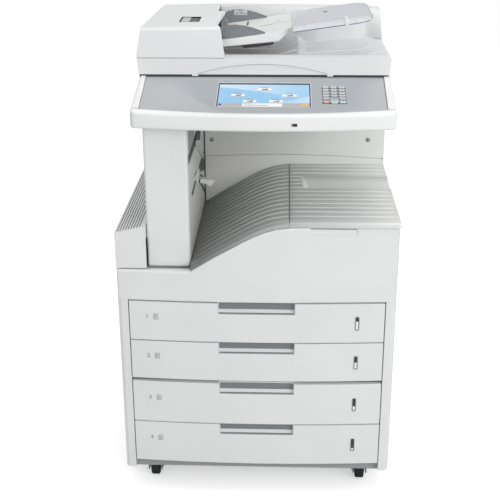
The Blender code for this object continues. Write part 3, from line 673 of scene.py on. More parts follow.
# -------------------- screen
SX0, SX1, SY0, SY1, _, _ = local_box("touch_screen", PANEL)
GLOW = -0.25                            # top of the picture, which the signs stand on
s.ring(rounded(SX0 - 4.2, SX1 + 4.2, SY0 - 2.4, SY1 + 8.8, 1.5),
       rounded(SX0 - 1.8, SX1 + 1.8, SY0 - 0.6, SY1 + 4.6, 0.6), 'Z', -0.6, 0.9)
s.piece("screen_trim", SILVER, 0.35, segments=3, turn=PANEL)
s.ring(rounded(SX0 - 1.9, SX1 + 1.9, SY0 - 0.7, SY1 + 4.7, 0.6),
       rounded(SX0 + 0.4, SX1 - 0.4, SY0 + 0.3, SY1 - 0.4, 0.4), 'Z', -0.9, 0.45)
s.piece("screen_gasket", INK, 0.2, turn=PANEL)
s.plate(SX0 + 0.2, SX1 - 0.2, SY0 + 0.2, SY1 - 0.2, 0.5, 'Z', -1, GLOW, 0.1)
s.piece("screen_picture", DISPLAY, 0.1, turn=PANEL)

BUTTONS = ((-14, 18, 100, 113), (-72, -42, 70, 83), (42, 74, 68, 81),
           (-45, -15, 39, 52), (13, 44, 39, 52))
for x0, x1, y0, y1 in BUTTONS:
    s.plate(x0, x1, y0, y1, 2, 'Z', GLOW, GLOW + 0.12)
s.plate(-46, 42, 19.4, 35.5, 0.8, 'Z', GLOW, GLOW + 0.16)
s.piece("screen_buttons", SCREEN_LIGHT, 0.05, turn=PANEL)
s.plate(SX0 + 0.4, SX1 - 0.4, SY0 + 0.4, 36.8, 0.3, 'Z', GLOW, GLOW + 0.06)
for x0, x1, y0, _ in BUTTONS:
    s.plate(x0 + 1, x1 - 1, y0 - 1.6, y0 + 1.6, 0.8, 'Z', GLOW, GLOW + 0.15)
s.piece("screen_bar", SCREEN_GREY, 0.03, turn=PANEL)
for x0, x1, y0, y1 in BUTTONS:
    mid = (x0 + x1) / 2
    s.plate(mid - 9, mid + 7, y1 + 2.4, y1 + 4.2, 0.6, 'Z', GLOW, GLOW + 0.1)
    s.plate(mid - 5.5, mid + 5.5, y0 + 3.4, y0 + 8.6, 1, 'Z', GLOW, GLOW + 0.2)
    s.plate(mid + 3, mid + 8, y0 + 6.2, y0 + 10.4, 1.4, 'Z', GLOW, GLOW + 0.24)
for y, x1 in ((30.6, -22), (24.4, 10)):
    s.plate(-43, x1, y, y + 1.7, 0.5, 'Z', GLOW, GLOW + 0.2)
s.piece("screen_glyphs", SCREEN_DARK, 0.03, turn=PANEL)
s.slab(circle(-95.5, 27.6, 4.2, 20), 'Z', GLOW, GLOW + 0.16)
s.slab([(-98.6, 29.8), (-95.5, 36.4), (-92.4, 29.8)], 'Z', GLOW, GLOW + 0.16)
s.plate(55, 66, 72.5, 76.5, 1.2, 'Z', GLOW, GLOW + 0.27)
s.piece("screen_drop", SCREEN_BLUE, 0.03, turn=PANEL)
s.plate(84, 98, 22.6, 32, 1.6, 'Z', GLOW, GLOW + 0.16)
for x in (-34, 27):
    s.plate(x - 3, x + 3, 43.2, 46, 1.2, 'Z', GLOW, GLOW + 0.27)
s.piece("screen_amber", SCREEN_AMBER, 0.03, turn=PANEL)

# -------------------- keypad
SIGN_SIZE = 6.2
KEY_SIGNS = {"key_star": "*", "key_hash": "#", "key_clear": "C", "key_help": "?"}


def key_middle(key):
    """Middle of a key's top face, in the panel's frame."""
    x0, x1, y0, y1, _, top = local_box(key, PANEL)
    return (x0 + x1) / 2, (y0 + y1) / 2, top


# painted shadows: dark strips under each key and up its sides to a little past half its height
for key in sorted(n for n in NODES if n.startswith("key_")):
    x0, x1, y0, y1, _, _ = local_box(key, PANEL)
    rise = y0 + 0.55 * (y1 - y0)
    right = [(x1 + 0.9, y0 - 2.7), (x1 + 2.2, y0 - 1.4), (x1 + 2.2, rise), (x1 + 0.5, rise),
             (x1 + 0.5, y0 - 0.5)]
    left = [(x0 - 0.5, y0 - 0.5), (x0 - 0.5, rise), (x0 - 2.2, rise), (x0 - 2.2, y0 - 1.4),
            (x0 - 0.9, y0 - 2.7)]
    s.slab(left[3:] + right + left[:3], 'Z', -0.4, 0.22)
    sign = KEY_SIGNS.get(key, key[4:] if key[4:].isdigit() else None)
    if sign is not None:
        lettering("sign_" + key, sign, SIGN_SIZE, MARK, key,
                  PANEL @ Matrix.Translation(mm(key_middle(key))))
s.piece("key_shadows", DARK, 0.1, turn=PANEL)

mid_x, mid_y, top = key_middle("key_start")
s.ring(circle(mid_x, mid_y, 4), circle(mid_x, mid_y, 3.2), 'Z', top - 0.05, top + 0.1)
s.slab([(mid_x - 0.4, mid_y), (mid_x + 0.4, mid_y), (mid_x + 0.4, mid_y + 5), (mid_x - 0.4, mid_y + 5)],
       'Z', top - 0.05, top + 0.12)
s.piece("start_sign", GREEN, 0, "key_start", turn=PANEL)
mid_x, mid_y, top = key_middle("key_stop")
s.ring(circle(mid_x, mid_y, 3.9, 8), circle(mid_x, mid_y, 2.9, 8), 'Z', top - 0.05, top + 0.1)
s.piece("stop_sign", WHITE, 0, "key_stop", turn=PANEL)
mid_x, mid_y, top = key_middle("key_pause")
for dx in (-1.4, 1.4):
    s.plate(mid_x + dx - 0.5, mid_x + dx + 0.5, mid_y - 2, mid_y + 2, 0.2, 'Z', top - 0.05, top + 0.1,
            steps=2)
s.piece("pause_sign", MARK, 0, "key_pause", turn=PANEL)
s.plate(mid_x - 22.6, mid_x - 15, 24.6, 28.6, 1.5, 'Z', -0.3, 0.7, 0.5)
s.piece("status_lamp", LED, 0.2, turn=PANEL)

# -------------------- scanner lid
LID_X0, LID_X1, LID_Y0, _, LID_Z0, _ = box_mm("platen_lid")
for x in (-147, 165):
    s.plate(x - 7, x + 7, LID_Z0 - 3.6, LID_Z0 + 1.4, 1.6, 'Y', LID_Y0 - 1.2, LID_Y0 + 3)
s.piece("lid_tabs", WHITE, 0.4, "lid", 3)
s.box(LID_X0 + 5, LID_X1 - 6, LID_Y0 + 1.4, LID_Y0 + 5.4, LID_Z0 - 5.2, LID_Z0 - 0.4)
s.box(LID_X0 + 6, LID_X1 - 7, LID_Y0 + 5.4, LID_Y0 + 9, LID_Z0 - 3.4, LID_Z0 - 0.5)
s.piece("lid_seal", INK, 0.3)

# grip line on the lid's front, a grey strip of painted shade along the crease: middle, half its width,
# height and how far it drops at the ends
ARC_X, ARC_HALF, ARC_TOP, ARC_DROP = 9, 158, 1045.8, 24.6


def arc_z(x):
    return ARC_TOP - ARC_DROP * abs((x - ARC_X) / ARC_HALF) ** 2


ARC_SECTION = ((0.4, -0.55), (-0.18, -0.55), (-0.18, 0.55), (0.4, 0.55))
rings = []
for k in range(33):
    x = ARC_X + ARC_HALF * (k / 16 - 1) * 0.985
    rings.append([(x, LID_Y0 + y, arc_z(x) + dz) for y, dz in ARC_SECTION])
s.loft(rings)
s.piece("lid_arc", FRAME_METAL, 0, "lid")
s.slab([(-108, 1036), (-95, 1036), (-95, 1129.8), (-106.5, 1129.8), (-108, 1128)], 'Y', 236, 286)
s.piece("ridge_end", WHITE, 0.8, "lid")

# smooth skin over the faceted wall behind the lid's tray: x, then y and z of its foot and of its top
RIDGE = ((60, 231, 1035, 243, 1128.6), (66, 231, 1035, 243, 1128.6),
         (150, 196, 1042, 241, 1127.6), (262, 187, 1054, 239, 1126.2),
         (318, 139.5, 1068, 227.4, 1121.3))


def ridge_at(x, up):
    """Point of the skin at x, with up running from 0 at the wall's foot to 1 at its top."""
    for a, b in zip(RIDGE, RIDGE[1:]):
        if a[0] <= x <= b[0]:
            t = (x - a[0]) / (b[0] - a[0])
            t = t * t * (3 - 2 * t)
            foot, foot_z, top, top_z = [p + (q - p) * t for p, q in zip(a[1:], b[1:])]
    proud = 0.25 + 2.6 * min(1, 4 * up * (1 - up)) + 0.8 * (1 - up)
    return (x, foot + (top - foot) * up - proud, foot_z + (top_z - foot_z) * up)


rows = []
for k in range(62):
    x = min(61 + 4 * k, 304.9)
    front = [ridge_at(x, j / 8) for j in range(9)]
    rows.append(front + [(x, y + 4, z) for _, y, z in reversed(front)])
s.loft(rows)
s.piece("ridge_skin", WHITE, 0, "lid")

# reference strip, paper-size ticks and the narrow glass of the feeder beside the platen
GX0, _, GY0, GY1, _, GLASS_Z = box_mm("platen_glass")
for k in range(15):
    x = GX0 + 12 + 29 * k
    s.box(x - 0.4, x + 0.4, GY0 - 13, GY0 - (5 if k % 2 else 2.5), GLASS_Z + 0.02, GLASS_Z + 0.14)
for k in range(10):
    y = GY0 + 12 + 30 * k
    s.box(GX0 - 13, GX0 - (5 if k % 2 else 2.5), y - 0.4, y + 0.4, GLASS_Z + 0.02, GLASS_Z + 0.14)
s.piece("platen_ticks", MARK, 0)
s.plate(GX0 - 46, GX0 - 26, GY0, GY1, 2, 'Z', GLASS_Z - 0.3, GLASS_Z + 0.25)
s.piece("feeder_glass", DARK, 0.2)
s.border(GX0 - 48.5, GX0 - 23.5, GY0 - 2.5, GY1 + 2.5, 3, 2.5, 2, 'Z', GLASS_Z - 0.3, GLASS_Z + 0.4)
s.piece("feeder_glass_frame", SILVER, 0.15)

# -------------------- document feeder
AX0, _, AY0, AY1, AZ0, _ = box_mm("adf_cover")
COVER_TOP = 1128.4
LATCH_FLOOR = 1125.2
IDLER_X = -196
s.ring(rounded(-190.6, -143.4, -32.6, 51.6, 1.6), rounded(-187.4, -145.4, -29, 49, 0.8), 'Z',
       LATCH_FLOOR, COVER_TOP)
s.piece("latch_rim", INK, 0.3, "feeder_cover")
s.plate(-187.6, -168, -29.2, 49.2, 0.8, 'Z', LATCH_FLOOR, 1127.6, 0.6)
for k in range(5):
    s.box(-184 + 3.4 * k, -182.8 + 3.4 * k, -20, 40, 1127.4, 1128.2)
s.piece("latch_handle", SILVER, 0.4, "feeder_cover", 3)
s.plate(-167.6, -145.2, -29.2, 49.2, 0.8, 'Z', LATCH_FLOOR, 1126.2)
s.ring(rounded(-164, -149, -22, 42, 3), rounded(-161.5, -151.5, -19, 39, 2), 'Z', 1126, 1127)
s.piece("latch_window", MARK, 0.3, "feeder_cover")
s.box(-152, -117, -86.6, -85.8, 1127.6, COVER_TOP + 0.6)
s.turned([(-1.5, 1.9), (0.6, 1.9), (0.8, 1.4)], (-115.5, -81.6, COVER_TOP + 0.2), 'Z', 12)
s.piece("cover_parting", MARK, 0, "feeder_cover")
s.box(AX0 + 1.6, -79.6, AY0 - 0.5, AY0 + 3, AZ0 - 1.3, AZ0 + 0.5)
s.box(AX0 + 0.8, AX0 + 4, AY0 + 3, AY1 - 2, AZ0 - 0.5, AZ0 + 0.2)
s.piece("cover_gap", INK, 0, "lid")

# throat and bed under the cover
BED_RIB = ((-256, 5), (-256, 22), (-220, 12), (-140, 9), (-110, 14), (-110, 5))
s.box(-112, -110.4, 140, 234, 1062, 1121)
s.box(-99.6, -90, -52, 226, 1060, 1071)
s.piece("feed_throat", INK, 0.4, "lid")
s.plate(-262, -104, -92, 276, 6, 'Z', AZ0 - 0.4, AZ0 + 5)
for k in range(9):
    y = -74 + 42 * k
    s.loft([[(x, y + dy, AZ0 + dz) for x, dz in BED_RIB] for dy in (-1.1, 1.1)])
s.piece("feeder_bed", SHADE, 0.5, "lid")
for y in (0, 90, 180):
    s.turned([(-12, 4), (-12, 9), (-10, 10), (10, 10), (12, 9), (12, 4)], (IDLER_X, y, AZ0 + 14), 'Y', 20)
s.turned([(-90, 3), (270, 3)], (IDLER_X, 0, AZ0 + 14), 'Y', 12)
s.piece("feeder_idlers", BLACK, 0.4, "lid")
s.turned([(0, 5), (0, 13), (2, 14), (9, 14), (11, 12), (11, 5)], (-236, -96, AZ0 + 20), 'Y', 12)
s.piece("feeder_knob", GREEN, 0.5, "lid")

# document tray: printed guide marks, slot and the lift bracket below it, black and deep so that it is
# painted shadow under the tray as well
for x0, x1, y0, y1 in ((87, 112, 75.5, 80.5), (112, 160, 90.5, 92.3), (128, 141, 127, 130.5)):
    s.plate(x0, x1, y0, y1, 0.7, 'Z', -0.1, 0.14, steps=2)
s.slab([(112, 73), (119, 78), (112, 83)], 'Z', -0.1, 0.14)
for k in range(6):
    s.slab(rounded(98 + 9 * k, 98.7 + 9 * k, 104, 110 + 3 * (k % 2), 0.2, 2), 'Z', -0.1, 0.12)
s.piece("feed_marks", MARK, 0, "input_tray", turn=FEED)
s.plate(51.5, 56, 122, 184, 1.6, 'Z', -0.1, 0.2)
s.plate(51.5, 56, -22, 40, 1.6, 'Z', -0.1, 0.2)
s.piece("feed_slots", INK, 0, "input_tray", turn=FEED)
# bracket and painted shadow: a black wedge under the tray's front side
s.slab([(-46, 1079.3), (34, 1087.6), (33, 1080.4), (22, 1078), (-26, 1072), (-34, 1071.4)], 'Y', -53, -34)
s.piece("feed_bracket_shadow", INK, 0.5, "input_tray")
s.slab([(-84, 1075.8), (44, 1088.6), (44, 1087.4), (-84, 1074.6)], 'Y', -53.6, -51)
s.piece("feed_edge", SHADE, 0.2, "input_tray")

# lead-in nose of each guide, running in under the cover, and the size labels
NOSE = [(-85, 1096), (-90, 1099), (-94.5, 1107), (-94.5, 1113), (-91.5, 1118.5), (-85.6, 1121.8),
        (-82.5, 1121), (-84.5, 1112)]
for guide, body, y, side in (("guide_rear", "rear_guide", 208, -1), ("guide_front", "front_guide", -40, 1)):
    s.slab(NOSE, 'Y', y - 0.02 * side, y - 4.98 * side)
    s.piece(guide + "_nose", GUIDE, 0.6, body)
    s.plate(-72, -38, 1110.5, 1123, 1.5, 'Y', y - 0.3, y + 0.25 * side)
    s.piece(guide + "_label", SILVER, 0.1, body)
    near, far = sorted((y, y + 0.4 * side))
    for k in range(7):
        x = -68.5 + 4.4 * k
        s.box(x, x + (2.4 if k % 3 == 0 else 1.3), near, far, 1112.5, 1118 if k % 2 else 1115.5)
    s.ring(rounded(-60, -50, 1118.5, 1122.3, 0.4, 2), rounded(-59.2, -50.8, 1119.1, 1121.7, 0.2, 2),
           'Y', near, far)
    s.piece(guide + "_marks", DARK, 0, body)

# tray extension: skirt round its edge, clip and slot
EXT_EDGE = [(79, -55.2), (150, -55.2), (226, -55.2), (244.3, -50.2), (258.3, -37.1), (265.2, -18),
            (265.2, 60), (265.2, 172), (259.1, 196.2), (246.1, 214.2), (226.1, 226.2)]


def skirt(points, low, high, thickness):
    """Rings of a strip along the extension's edge, from low to high above the tray's slope."""
    rows = []
    for i, (x, y) in enumerate(points):
        a = points[max(0, i - 1)]
        b = points[min(len(points) - 1, i + 1)]
        out = Vector((b[1] - a[1], a[0] - b[0])).normalized() * thickness
        low_z, high_z = feed_z(x) + low, feed_z(x) + high
        rows.append([(x, y, low_z), (x + out.x, y + out.y, low_z), (x + out.x, y + out.y, high_z),
                     (x, y, high_z)])
    return rows


s.loft(skirt(EXT_EDGE, -3.4, 4.3, 1.4))
s.sheet([(80, -54.6), (226, -54.6), (243.5, -49.6), (254, -39), (252, -8), (80, -26)],
        lambda x: 4, lambda x: 4.6)
s.piece("extension_rim", RIM, 0.15, "tray_extension")
FOLD = ((-0.35, 4.3), (0.35, 4.3), (0.35, 4.85), (-0.35, 4.85))
s.loft([[(x, y + dy, feed_z(x) + dz) for dy, dz in FOLD] for x, y in ((80, -25.6), (252, -7.6))])
s.piece("extension_fold", FRAME_METAL, 0, "tray_extension")
s.loft(skirt(EXT_EDGE[:5], -5, -3.2, 1.7))
s.piece("extension_line", SLATE_BLUE, 0.1, "tray_extension")
NODES["adf_tray_extension"].visible_shadow = False      # the photograph shows none under the clear sheet

# the extension's white front band laps back onto the tray and slides with the extension
LIP = [(74, -34), (77.2, -15.5), (81.4, 25), (85.6, 65), (87.8, 104), (87.2, 147), (83.4, 192),
       (79, 206), (74, 206)]
s.sheet(LIP, lambda x: 4.9 if x > 75 else 0.1, lambda x: 5.9 if x > 75 else 0.4)
s.piece("tray_lip", WHITE, 0.3, "tray_extension")
clip_z = feed_z(204.5)
s.plate(200, 209, -56, 8, 1.2, 'Z', clip_z + 4, clip_z + 6.4, 0.6)
s.plate(200, 209, clip_z - 5, clip_z + 6.2, 1.2, 'Y', -58.6, -56.4)
s.piece("extension_clip", WHITE, 0.5, "tray_extension")
slot_z = feed_z(161)
s.plate(155, 167, 136.5, 140.5, 1.6, 'Z', slot_z + 3.2, slot_z + 5.4)
s.piece("extension_slot", MARK, 0, "tray_extension")

# -------------------- output bay
COLUMN_X = -155                         # the column's face towards the bay
ROLLER_X = -170
ROLLER_Z = 852
# painted shade: a slightly darker sheet over the column's face towards the bay, leaving its slots open
for y0, y1, z0, z1 in ((-261, 167.6, 867.5, 936), (101.5, 167.6, 836.5, 866.5), (-261, 167.6, 759.5, 835.5),
                       (-261, 16.5, 722.5, 758.5), (-261, 167.6, 612, 721.5)):
    s.plate(y0, y1, z0, z1, 1, 'X', COLUMN_X - 0.1, COLUMN_X + 0.7, steps=2)
s.piece("column_shade_sheet", COLUMN_SHADE, 0.3)
# painted shade: dark backs of the two slots, a dark strip in the corner by the rear wall, then flat dark
# shapes for the openings and ribs around them
s.box(COLUMN_X - 4, COLUMN_X - 1.6, -249.4, 99.4, 838.6, 865.4)
s.box(COLUMN_X - 4, COLUMN_X - 1.6, 18.6, 164.4, 724.6, 757.4)
s.box(-154.4, -150.6, 166.2, 169.2, 616, 936)
DARK_SHAPES = (((-70, 852), (-13, 862), (69, 838), (52, 819)),
               ((-13, 763), (51, 765), (150, 760), (166, 752), (166, 704), (120, 716)),
               ((-208, 758), (-110, 763), (-78, 750), (-168, 744)),
               ((-21, 735), (26, 721), (166, 651), (166, 638)),
               ((42, 731), (91, 716), (139, 688), (53, 722)),
               ((-117, 778), (-49, 772), (-49, 768.5), (-117, 774)))
for k, shape in enumerate(DARK_SHAPES):
    s.slab(shape, 'X', COLUMN_X + 0.5, COLUMN_X + 0.95 + 0.03 * k)
s.piece("column_painted_shade", INK, 0)
s.slab([(-72, 852), (130, 758), (116, 750), (-84, 843)], 'X', COLUMN_X + 0.4, COLUMN_X + 4, 1)
s.slab([(-40, 772), (20, 752), (14, 738), (-52, 742)], 'X', COLUMN_X + 0.4, COLUMN_X + 3, 1)
s.piece("column_brackets", SILVER, 0.5, segments=3)
s.plate(-246, -120, 874, 928, 4, 'X', COLUMN_X + 0.4, COLUMN_X + 2.4, 1)
s.piece("column_box", FRAME_METAL, 0.5, segments=3)
for k in range(7):
    y = -226 + 50 * k
    s.turned([(-7, 3), (-7, 8.5), (-6, 9.5), (6, 9.5), (7, 8.5), (7, 3)], (ROLLER_X, y, ROLLER_Z), 'Y', 16)
s.turned([(-240, 2.6), (96, 2.6)], (ROLLER_X, 0, ROLLER_Z), 'Y', 10)
s.piece("column_rollers", BLACK, 0.4)

WALL_Y = 169.5                          # the bay's rear wall
BAY_SCREWS = ((-133, 788.6), (282.8, 790.9))


def screws(crosses, points, axis, at, side, r=3.6):
    """Screw heads in the piece being made, and their recesses in crosses, on a face across the axis."""
    for a, b in points:
        x, y, z = (at, a, b) if axis == 'X' else (a, at, b)
        s.screw(x, y, z, axis, side, r)
        crosses.cross(x, y, z, axis, side, r)


holes = Shapes()
crosses = Shapes()
screws(crosses, BAY_SCREWS, 'Y', WALL_Y - 0.2, -1, 4.2)
for x, z in BAY_SCREWS:
    holes.ring(circle(x, z, 6), circle(x, z, 4.3), 'Y', WALL_Y - 0.35, WALL_Y + 0.5)
holes.slab(circle(324, 739.8, 1.9, 12), 'Y', WALL_Y - 0.5, WALL_Y + 0.5)
s.piece("bay_screws", STEEL, 0)
holes.piece("bay_screw_rings", MARK, 0)
crosses.piece("bay_screw_crosses", INK, 0)
s.box(74.3, 75.9, -291, 168.4, 716, 723.9)
s.piece("tray_seam", INK, 0)

# -------------------- drawers
BODY_FRONT = -302
BODY_BOW = 12


def front_y(x):
    """The bowed face of drawers and front door."""
    return BODY_FRONT + BODY_BOW * (x / 300) ** 2


UPRIGHT = Matrix.Rotation(math.pi / 2, 4, 'X')
BIN_FLOOR = {1: 434.5, 2: 330, 3: 212, 4: 96}
BIN_TOP = {1: 521, 2: 418.5, 3: 309, 4: 196}
FILLED = {1: 0.50, 2: 0.72, 3: 0.40, 4: 0.62}
PAPER_FRONT = -262
A4 = (297, 210)                         # width and depth of the stacks in the upper two drawers
A3 = (420, 297)
for n in (1, 2, 3, 4):
    drawer = "drawer_%d" % n
    low, high = box_mm(drawer)[4:]
    mid = (low + high) / 2
    wy = front_y(236)
    s.border(230, 242, mid - 19, mid + 19, 4, 2, 3, 'Y', wy - 0.9, wy + 1.5)
    s.piece(drawer + "_window_frame", SILVER, 0.3, drawer)
    s.plate(231.6, 240.4, mid - 17.4, mid + 17.4, 3, 'Y', wy - 0.2, wy + 1.2)
    s.piece(drawer + "_window", DARK, 0.2, drawer)
    s.plate(233.4, 238.6, mid - 15.4, mid + 10.6 - 5 * n, 1.6, 'Y', wy - 0.45, wy)
    s.piece(drawer + "_level", PAPER, 0.1, drawer)
    at = Matrix.Translation(mm(-258, front_y(-258) - 0.15, mid + 12)) @ UPRIGHT
    lettering(drawer + "_number", str(n), 15, MARK, drawer, at)
    iy = front_y(-236)
    s.border(-242, -231, mid + 5, mid + 19, 0.8, 0.8, 0.4, 'Y', iy - 0.5, iy + 0.8, steps=2)
    for k in range(3):
        s.box(-239.8, -233.2, iy - 0.45, iy + 0.6, mid + 8.4 + 3.2 * k, mid + 9.2 + 3.2 * k)
    s.piece(drawer + "_sheet_sign", MARK, 0, drawer)
    # painted shade: a dark grey plate and ledge at the back of the grip recess
    s.plate(-88.5, 88.5, high - 25.5, high - 3, 3, 'Y', BODY_FRONT + 14, BODY_FRONT + 15.3)
    s.box(-88, 88, BODY_FRONT + 4, BODY_FRONT + 13.8, high - 26.6, high - 25.4)
    s.piece(drawer + "_grip_painted_shade", GUIDE, 0.4, drawer)
    # the bin's contents and running gear, seen when it is pulled out
    bin_low = BIN_FLOOR[n]
    stack = FILLED[n] * (BIN_TOP[n] - bin_low - 24)
    width, depth = A4 if n < 3 else A3
    half = width / 2
    paper_back = PAPER_FRONT + depth
    for k in range(4):
        shift = (0, 0.9, -0.6, 0.4)[k]
        z0 = bin_low + 2 + stack * k / 4
        s.plate(shift - half, half + shift, PAPER_FRONT + shift, paper_back + shift, 0.8, 'Z', z0,
                z0 + stack / 4 - 0.25, steps=2)
    s.piece(drawer + "_paper", PAPER, 0.2, drawer)
    for side in (-1, 1):
        x0, x1 = sorted((side * (half + 2), side * (half + 6)))
        s.box(x0, x1, -200, -110, bin_low, bin_low + stack + 9)
        s.box(x0 - 9, x1 + 9, -190, -120, bin_low, bin_low + 1.6)
    s.box(-24, 24, paper_back + 2, paper_back + 6, bin_low, bin_low + stack + 9)
    s.piece(drawer + "_paper_guides", GREEN, 0.6, drawer)
    for side in (-1, 1):
        x0, x1 = sorted((side * 294, side * 296.4))
        for z0, z1 in ((6, 22), (9, 19)):
            s.plate(x0, x1, -276, 244, 0.5, 'Z', bin_low + z0, bin_low + z1, steps=2)
    s.piece(drawer + "_runners", STEEL, 0.5, drawer)

# -------------------- front door and the engine behind it
_, _, _, DOOR_IN, DOOR_Z0, _ = box_mm("front_door")
# painted shade: a dark grey plate at the back of the door's grip recess
s.plate(122, 228, 693, 708.5, 3, 'Y', BODY_FRONT + 11, BODY_FRONT + 13)
s.piece("door_grip_painted_shade", GUIDE, 0.4, "front_door")
for x0, x1 in ((-290, -160), (-150, -10), (0, 100), (110, 290)):
    s.border(x0, x1, DOOR_Z0 + 10, DOOR_Z0 + 62, 4, 1.8, 3, 'Y', DOOR_IN - 0.4, DOOR_IN + 2.4)
s.piece("door_inner_ribs", SHADE, 0.4, "front_door")

PLATE_Y = -258                          # front of the plates between the engine's parts
s.slab([(-290, 532), (8, 532), (8, 692), (-4, 686), (-31, 672), (-67, 651), (-93, 636), (-119, 620),
        (-152, 599), (-290, 599)], 'Y', PLATE_Y, PLATE_Y + 3.5)
s.plate(222, 296, 532, 704, 3, 'Y', PLATE_Y, PLATE_Y + 3.5)
s.plate(10, 220, 680, 700, 2, 'Y', PLATE_Y, PLATE_Y + 3.5)
s.piece("engine_plate", SHADE, 0.6)
for x, z in ((-270, 545), (-270, 590), (-8, 545), (-8, 670), (232, 545), (286, 545), (232, 692)):
    s.screw(x, PLATE_Y, z, 'Y', -1, 3.4)
s.piece("engine_screws", STEEL, 0)
s.border(120, 186, 590, 634, 12, 10, 7, 'Y', -270, -261.6)
s.piece("toner_handle", GUIDE, 1.2, segments=3)
s.plate(104, 202, 546, 566, 3, 'Y', -262.8, -261.4)
for k in range(5):
    s.box(110 + 19 * k, 118 + 19 * k, -263.2, -262.2, 552, 560)
s.piece("toner_label", SILVER, 0.2)
s.loft([[(-70, y, 560), (-28, y, 600), (-20, y, 592), (-62, y, 552)] for y in (-270, -262)])
s.turned([(-274, 6), (-274, 13), (-262, 15), (-258, 15)], (-66, 0, 556), 'Y', 20)
s.piece("release_lever", GREEN, 1, segments=3)
s.border(-250, -110, 545, 586, 6, 6, 4, 'Y', -262, -257.8)
for k in range(6):
    s.box(-238 + 20 * k, -226 + 20 * k, -260, -257.6, 552.5, 578.5)
s.piece("engine_grille", GUIDE, 0.5)

# -------------------- side covers
LEFT_X = -326.5
RIGHT_X = 326.5
REAR_Y = 320.5
s.ring(rounded(-46, 46, 576, 591, 5), rounded(-42, 42, 579, 588, 3.5), 'X', LEFT_X - 0.5, LEFT_X + 1.5)
s.piece("left_latch_frame", SHADE, 0.3, "left_door")
s.plate(-42.4, 42.4, 578.6, 588.4, 3.5, 'X', LEFT_X - 0.15, LEFT_X + 1)
s.piece("left_latch", DARK, 0.2, "left_door")
s.ring(rounded(-70, 30, 545, 562, 6), rounded(-66, 26, 548, 559, 4.5), 'X', LEFT_X - 0.5, LEFT_X + 1.5)
for k in range(3):
    s.border(-128 + 6 * k, 88 - 6 * k, 412 + 6 * k, 534 - 6 * k, 6, 0.8, 5.4, 'X', LEFT_X - 0.3, LEFT_X + 1)
s.piece("bypass_relief", SHADE, 0.15, "mp_tray")
s.plate(-66.4, 26.4, 547.6, 559.4, 4.5, 'X', LEFT_X - 0.1, LEFT_X + 1)
s.piece("bypass_grip", GUIDE, 0.2, "mp_tray")
for y0, y1, z0, z1 in ((-60, 60, 120, 148), (-60, 60, 480, 506)):
    s.border(y0, y1, z0, z1, 8, 4, 6, 'X', RIGHT_X - 1.5, RIGHT_X + 0.5)
s.piece("right_grip_frames", SHADE, 0.3)
for y0, y1, z0, z1 in ((-56, 56, 124, 144), (-56, 56, 484, 502)):
    s.plate(y0 - 0.4, y1 + 0.4, z0 - 0.4, z1 + 0.4, 6, 'X', RIGHT_X - 1, RIGHT_X + 0.15)
s.piece("right_grips", DARK, 0.2)
s.plate(-264, -232, 600, 622, 3, 'X', RIGHT_X - 1, RIGHT_X + 0.4)
s.piece("switch_frame", DARK, 0.3)
ROCKER = ((0.2, 603), (1.8, 605), (0.9, 611), (2.6, 618), (0.2, 619))
s.loft([[(RIGHT_X + proud, y, z) for proud, z in ROCKER] for y in (-260, -236)])
s.piece("switch_rocker", INK, 0.3)
crosses = Shapes()
screws(crosses, ((-250, 90), (290, 90), (290, 500), (290, 900), (200, 905)), 'X', RIGHT_X - 0.1, 1)
screws(crosses, ((-250, 90), (290, 90), (290, 500), (-250, 620), (290, 640)), 'X', LEFT_X + 0.1, -1)
screws(crosses, [(x, z) for x in (-300, -100, 100, 300) for z in (86, 500)], 'Y', REAR_Y - 0.1, 1)
screws(crosses, ((-235, 915), (30, 915), (300, 915)), 'Y', REAR_Y - 0.1, 1)
s.piece("cover_screws", STEEL, 0)
crosses.piece("cover_screw_crosses", INK, 0)

# -------------------- rear: joints, sockets, mains inlet
SOCKETS = ((186, 206, 836, 852), (220, 232, 840, 846), (244, 256, 840, 846), (186, 220, 790, 802),
           (240, 280, 786, 806))
for z in (526, 720):
    x0 = -325 if z < 690 else -252
    s.box(x0, 325, REAR_Y - 0.6, REAR_Y + 0.12, z - 0.5, z + 0.5)
s.box(149.5, 150.5, REAR_Y - 0.6, REAR_Y + 0.12, 720.5, 936)
s.piece("rear_joints", MARK, 0)
s.border(170, 300, 770, 870, 6, 4, 4, 'Y', REAR_Y - 1, REAR_Y + 0.7)
for x0, x1, z0, z1 in SOCKETS:
    s.border(x0 - 2, x1 + 2, z0 - 2, z1 + 2, 1.5, 2, 0.6, 'Y', REAR_Y - 0.8, REAR_Y + 1)
s.piece("socket_panel", STEEL, 0.2)
for x0, x1, z0, z1 in SOCKETS:
    s.plate(x0 - 0.2, x1 + 0.2, z0 - 0.2, z1 + 0.2, 0.6, 'Y', REAR_Y - 0.6, REAR_Y + 0.2)
s.plate(-262, -226, 96, 122, 3, 'Y', REAR_Y - 0.6, REAR_Y + 0.3)
s.piece("sockets", INK, 0.1)
s.border(-268, -220, 90, 128, 5, 6, 3, 'Y', REAR_Y - 0.8, REAR_Y + 1.4)
s.piece("mains_inlet", DARK, 0.4)
for x, z in ((-244, 115), (-251, 106), (-237, 106)):
    s.plate(x - 1, x + 1, z - 2.6, z + 2.6, 0.4, 'Y', REAR_Y, REAR_Y + 0.8, steps=2)
for k in range(6):
    s.box(188 + 2.8 * k, 189 + 2.8 * k, REAR_Y, REAR_Y + 0.5, 846, 851)
s.piece("contacts", BRASS, 0)

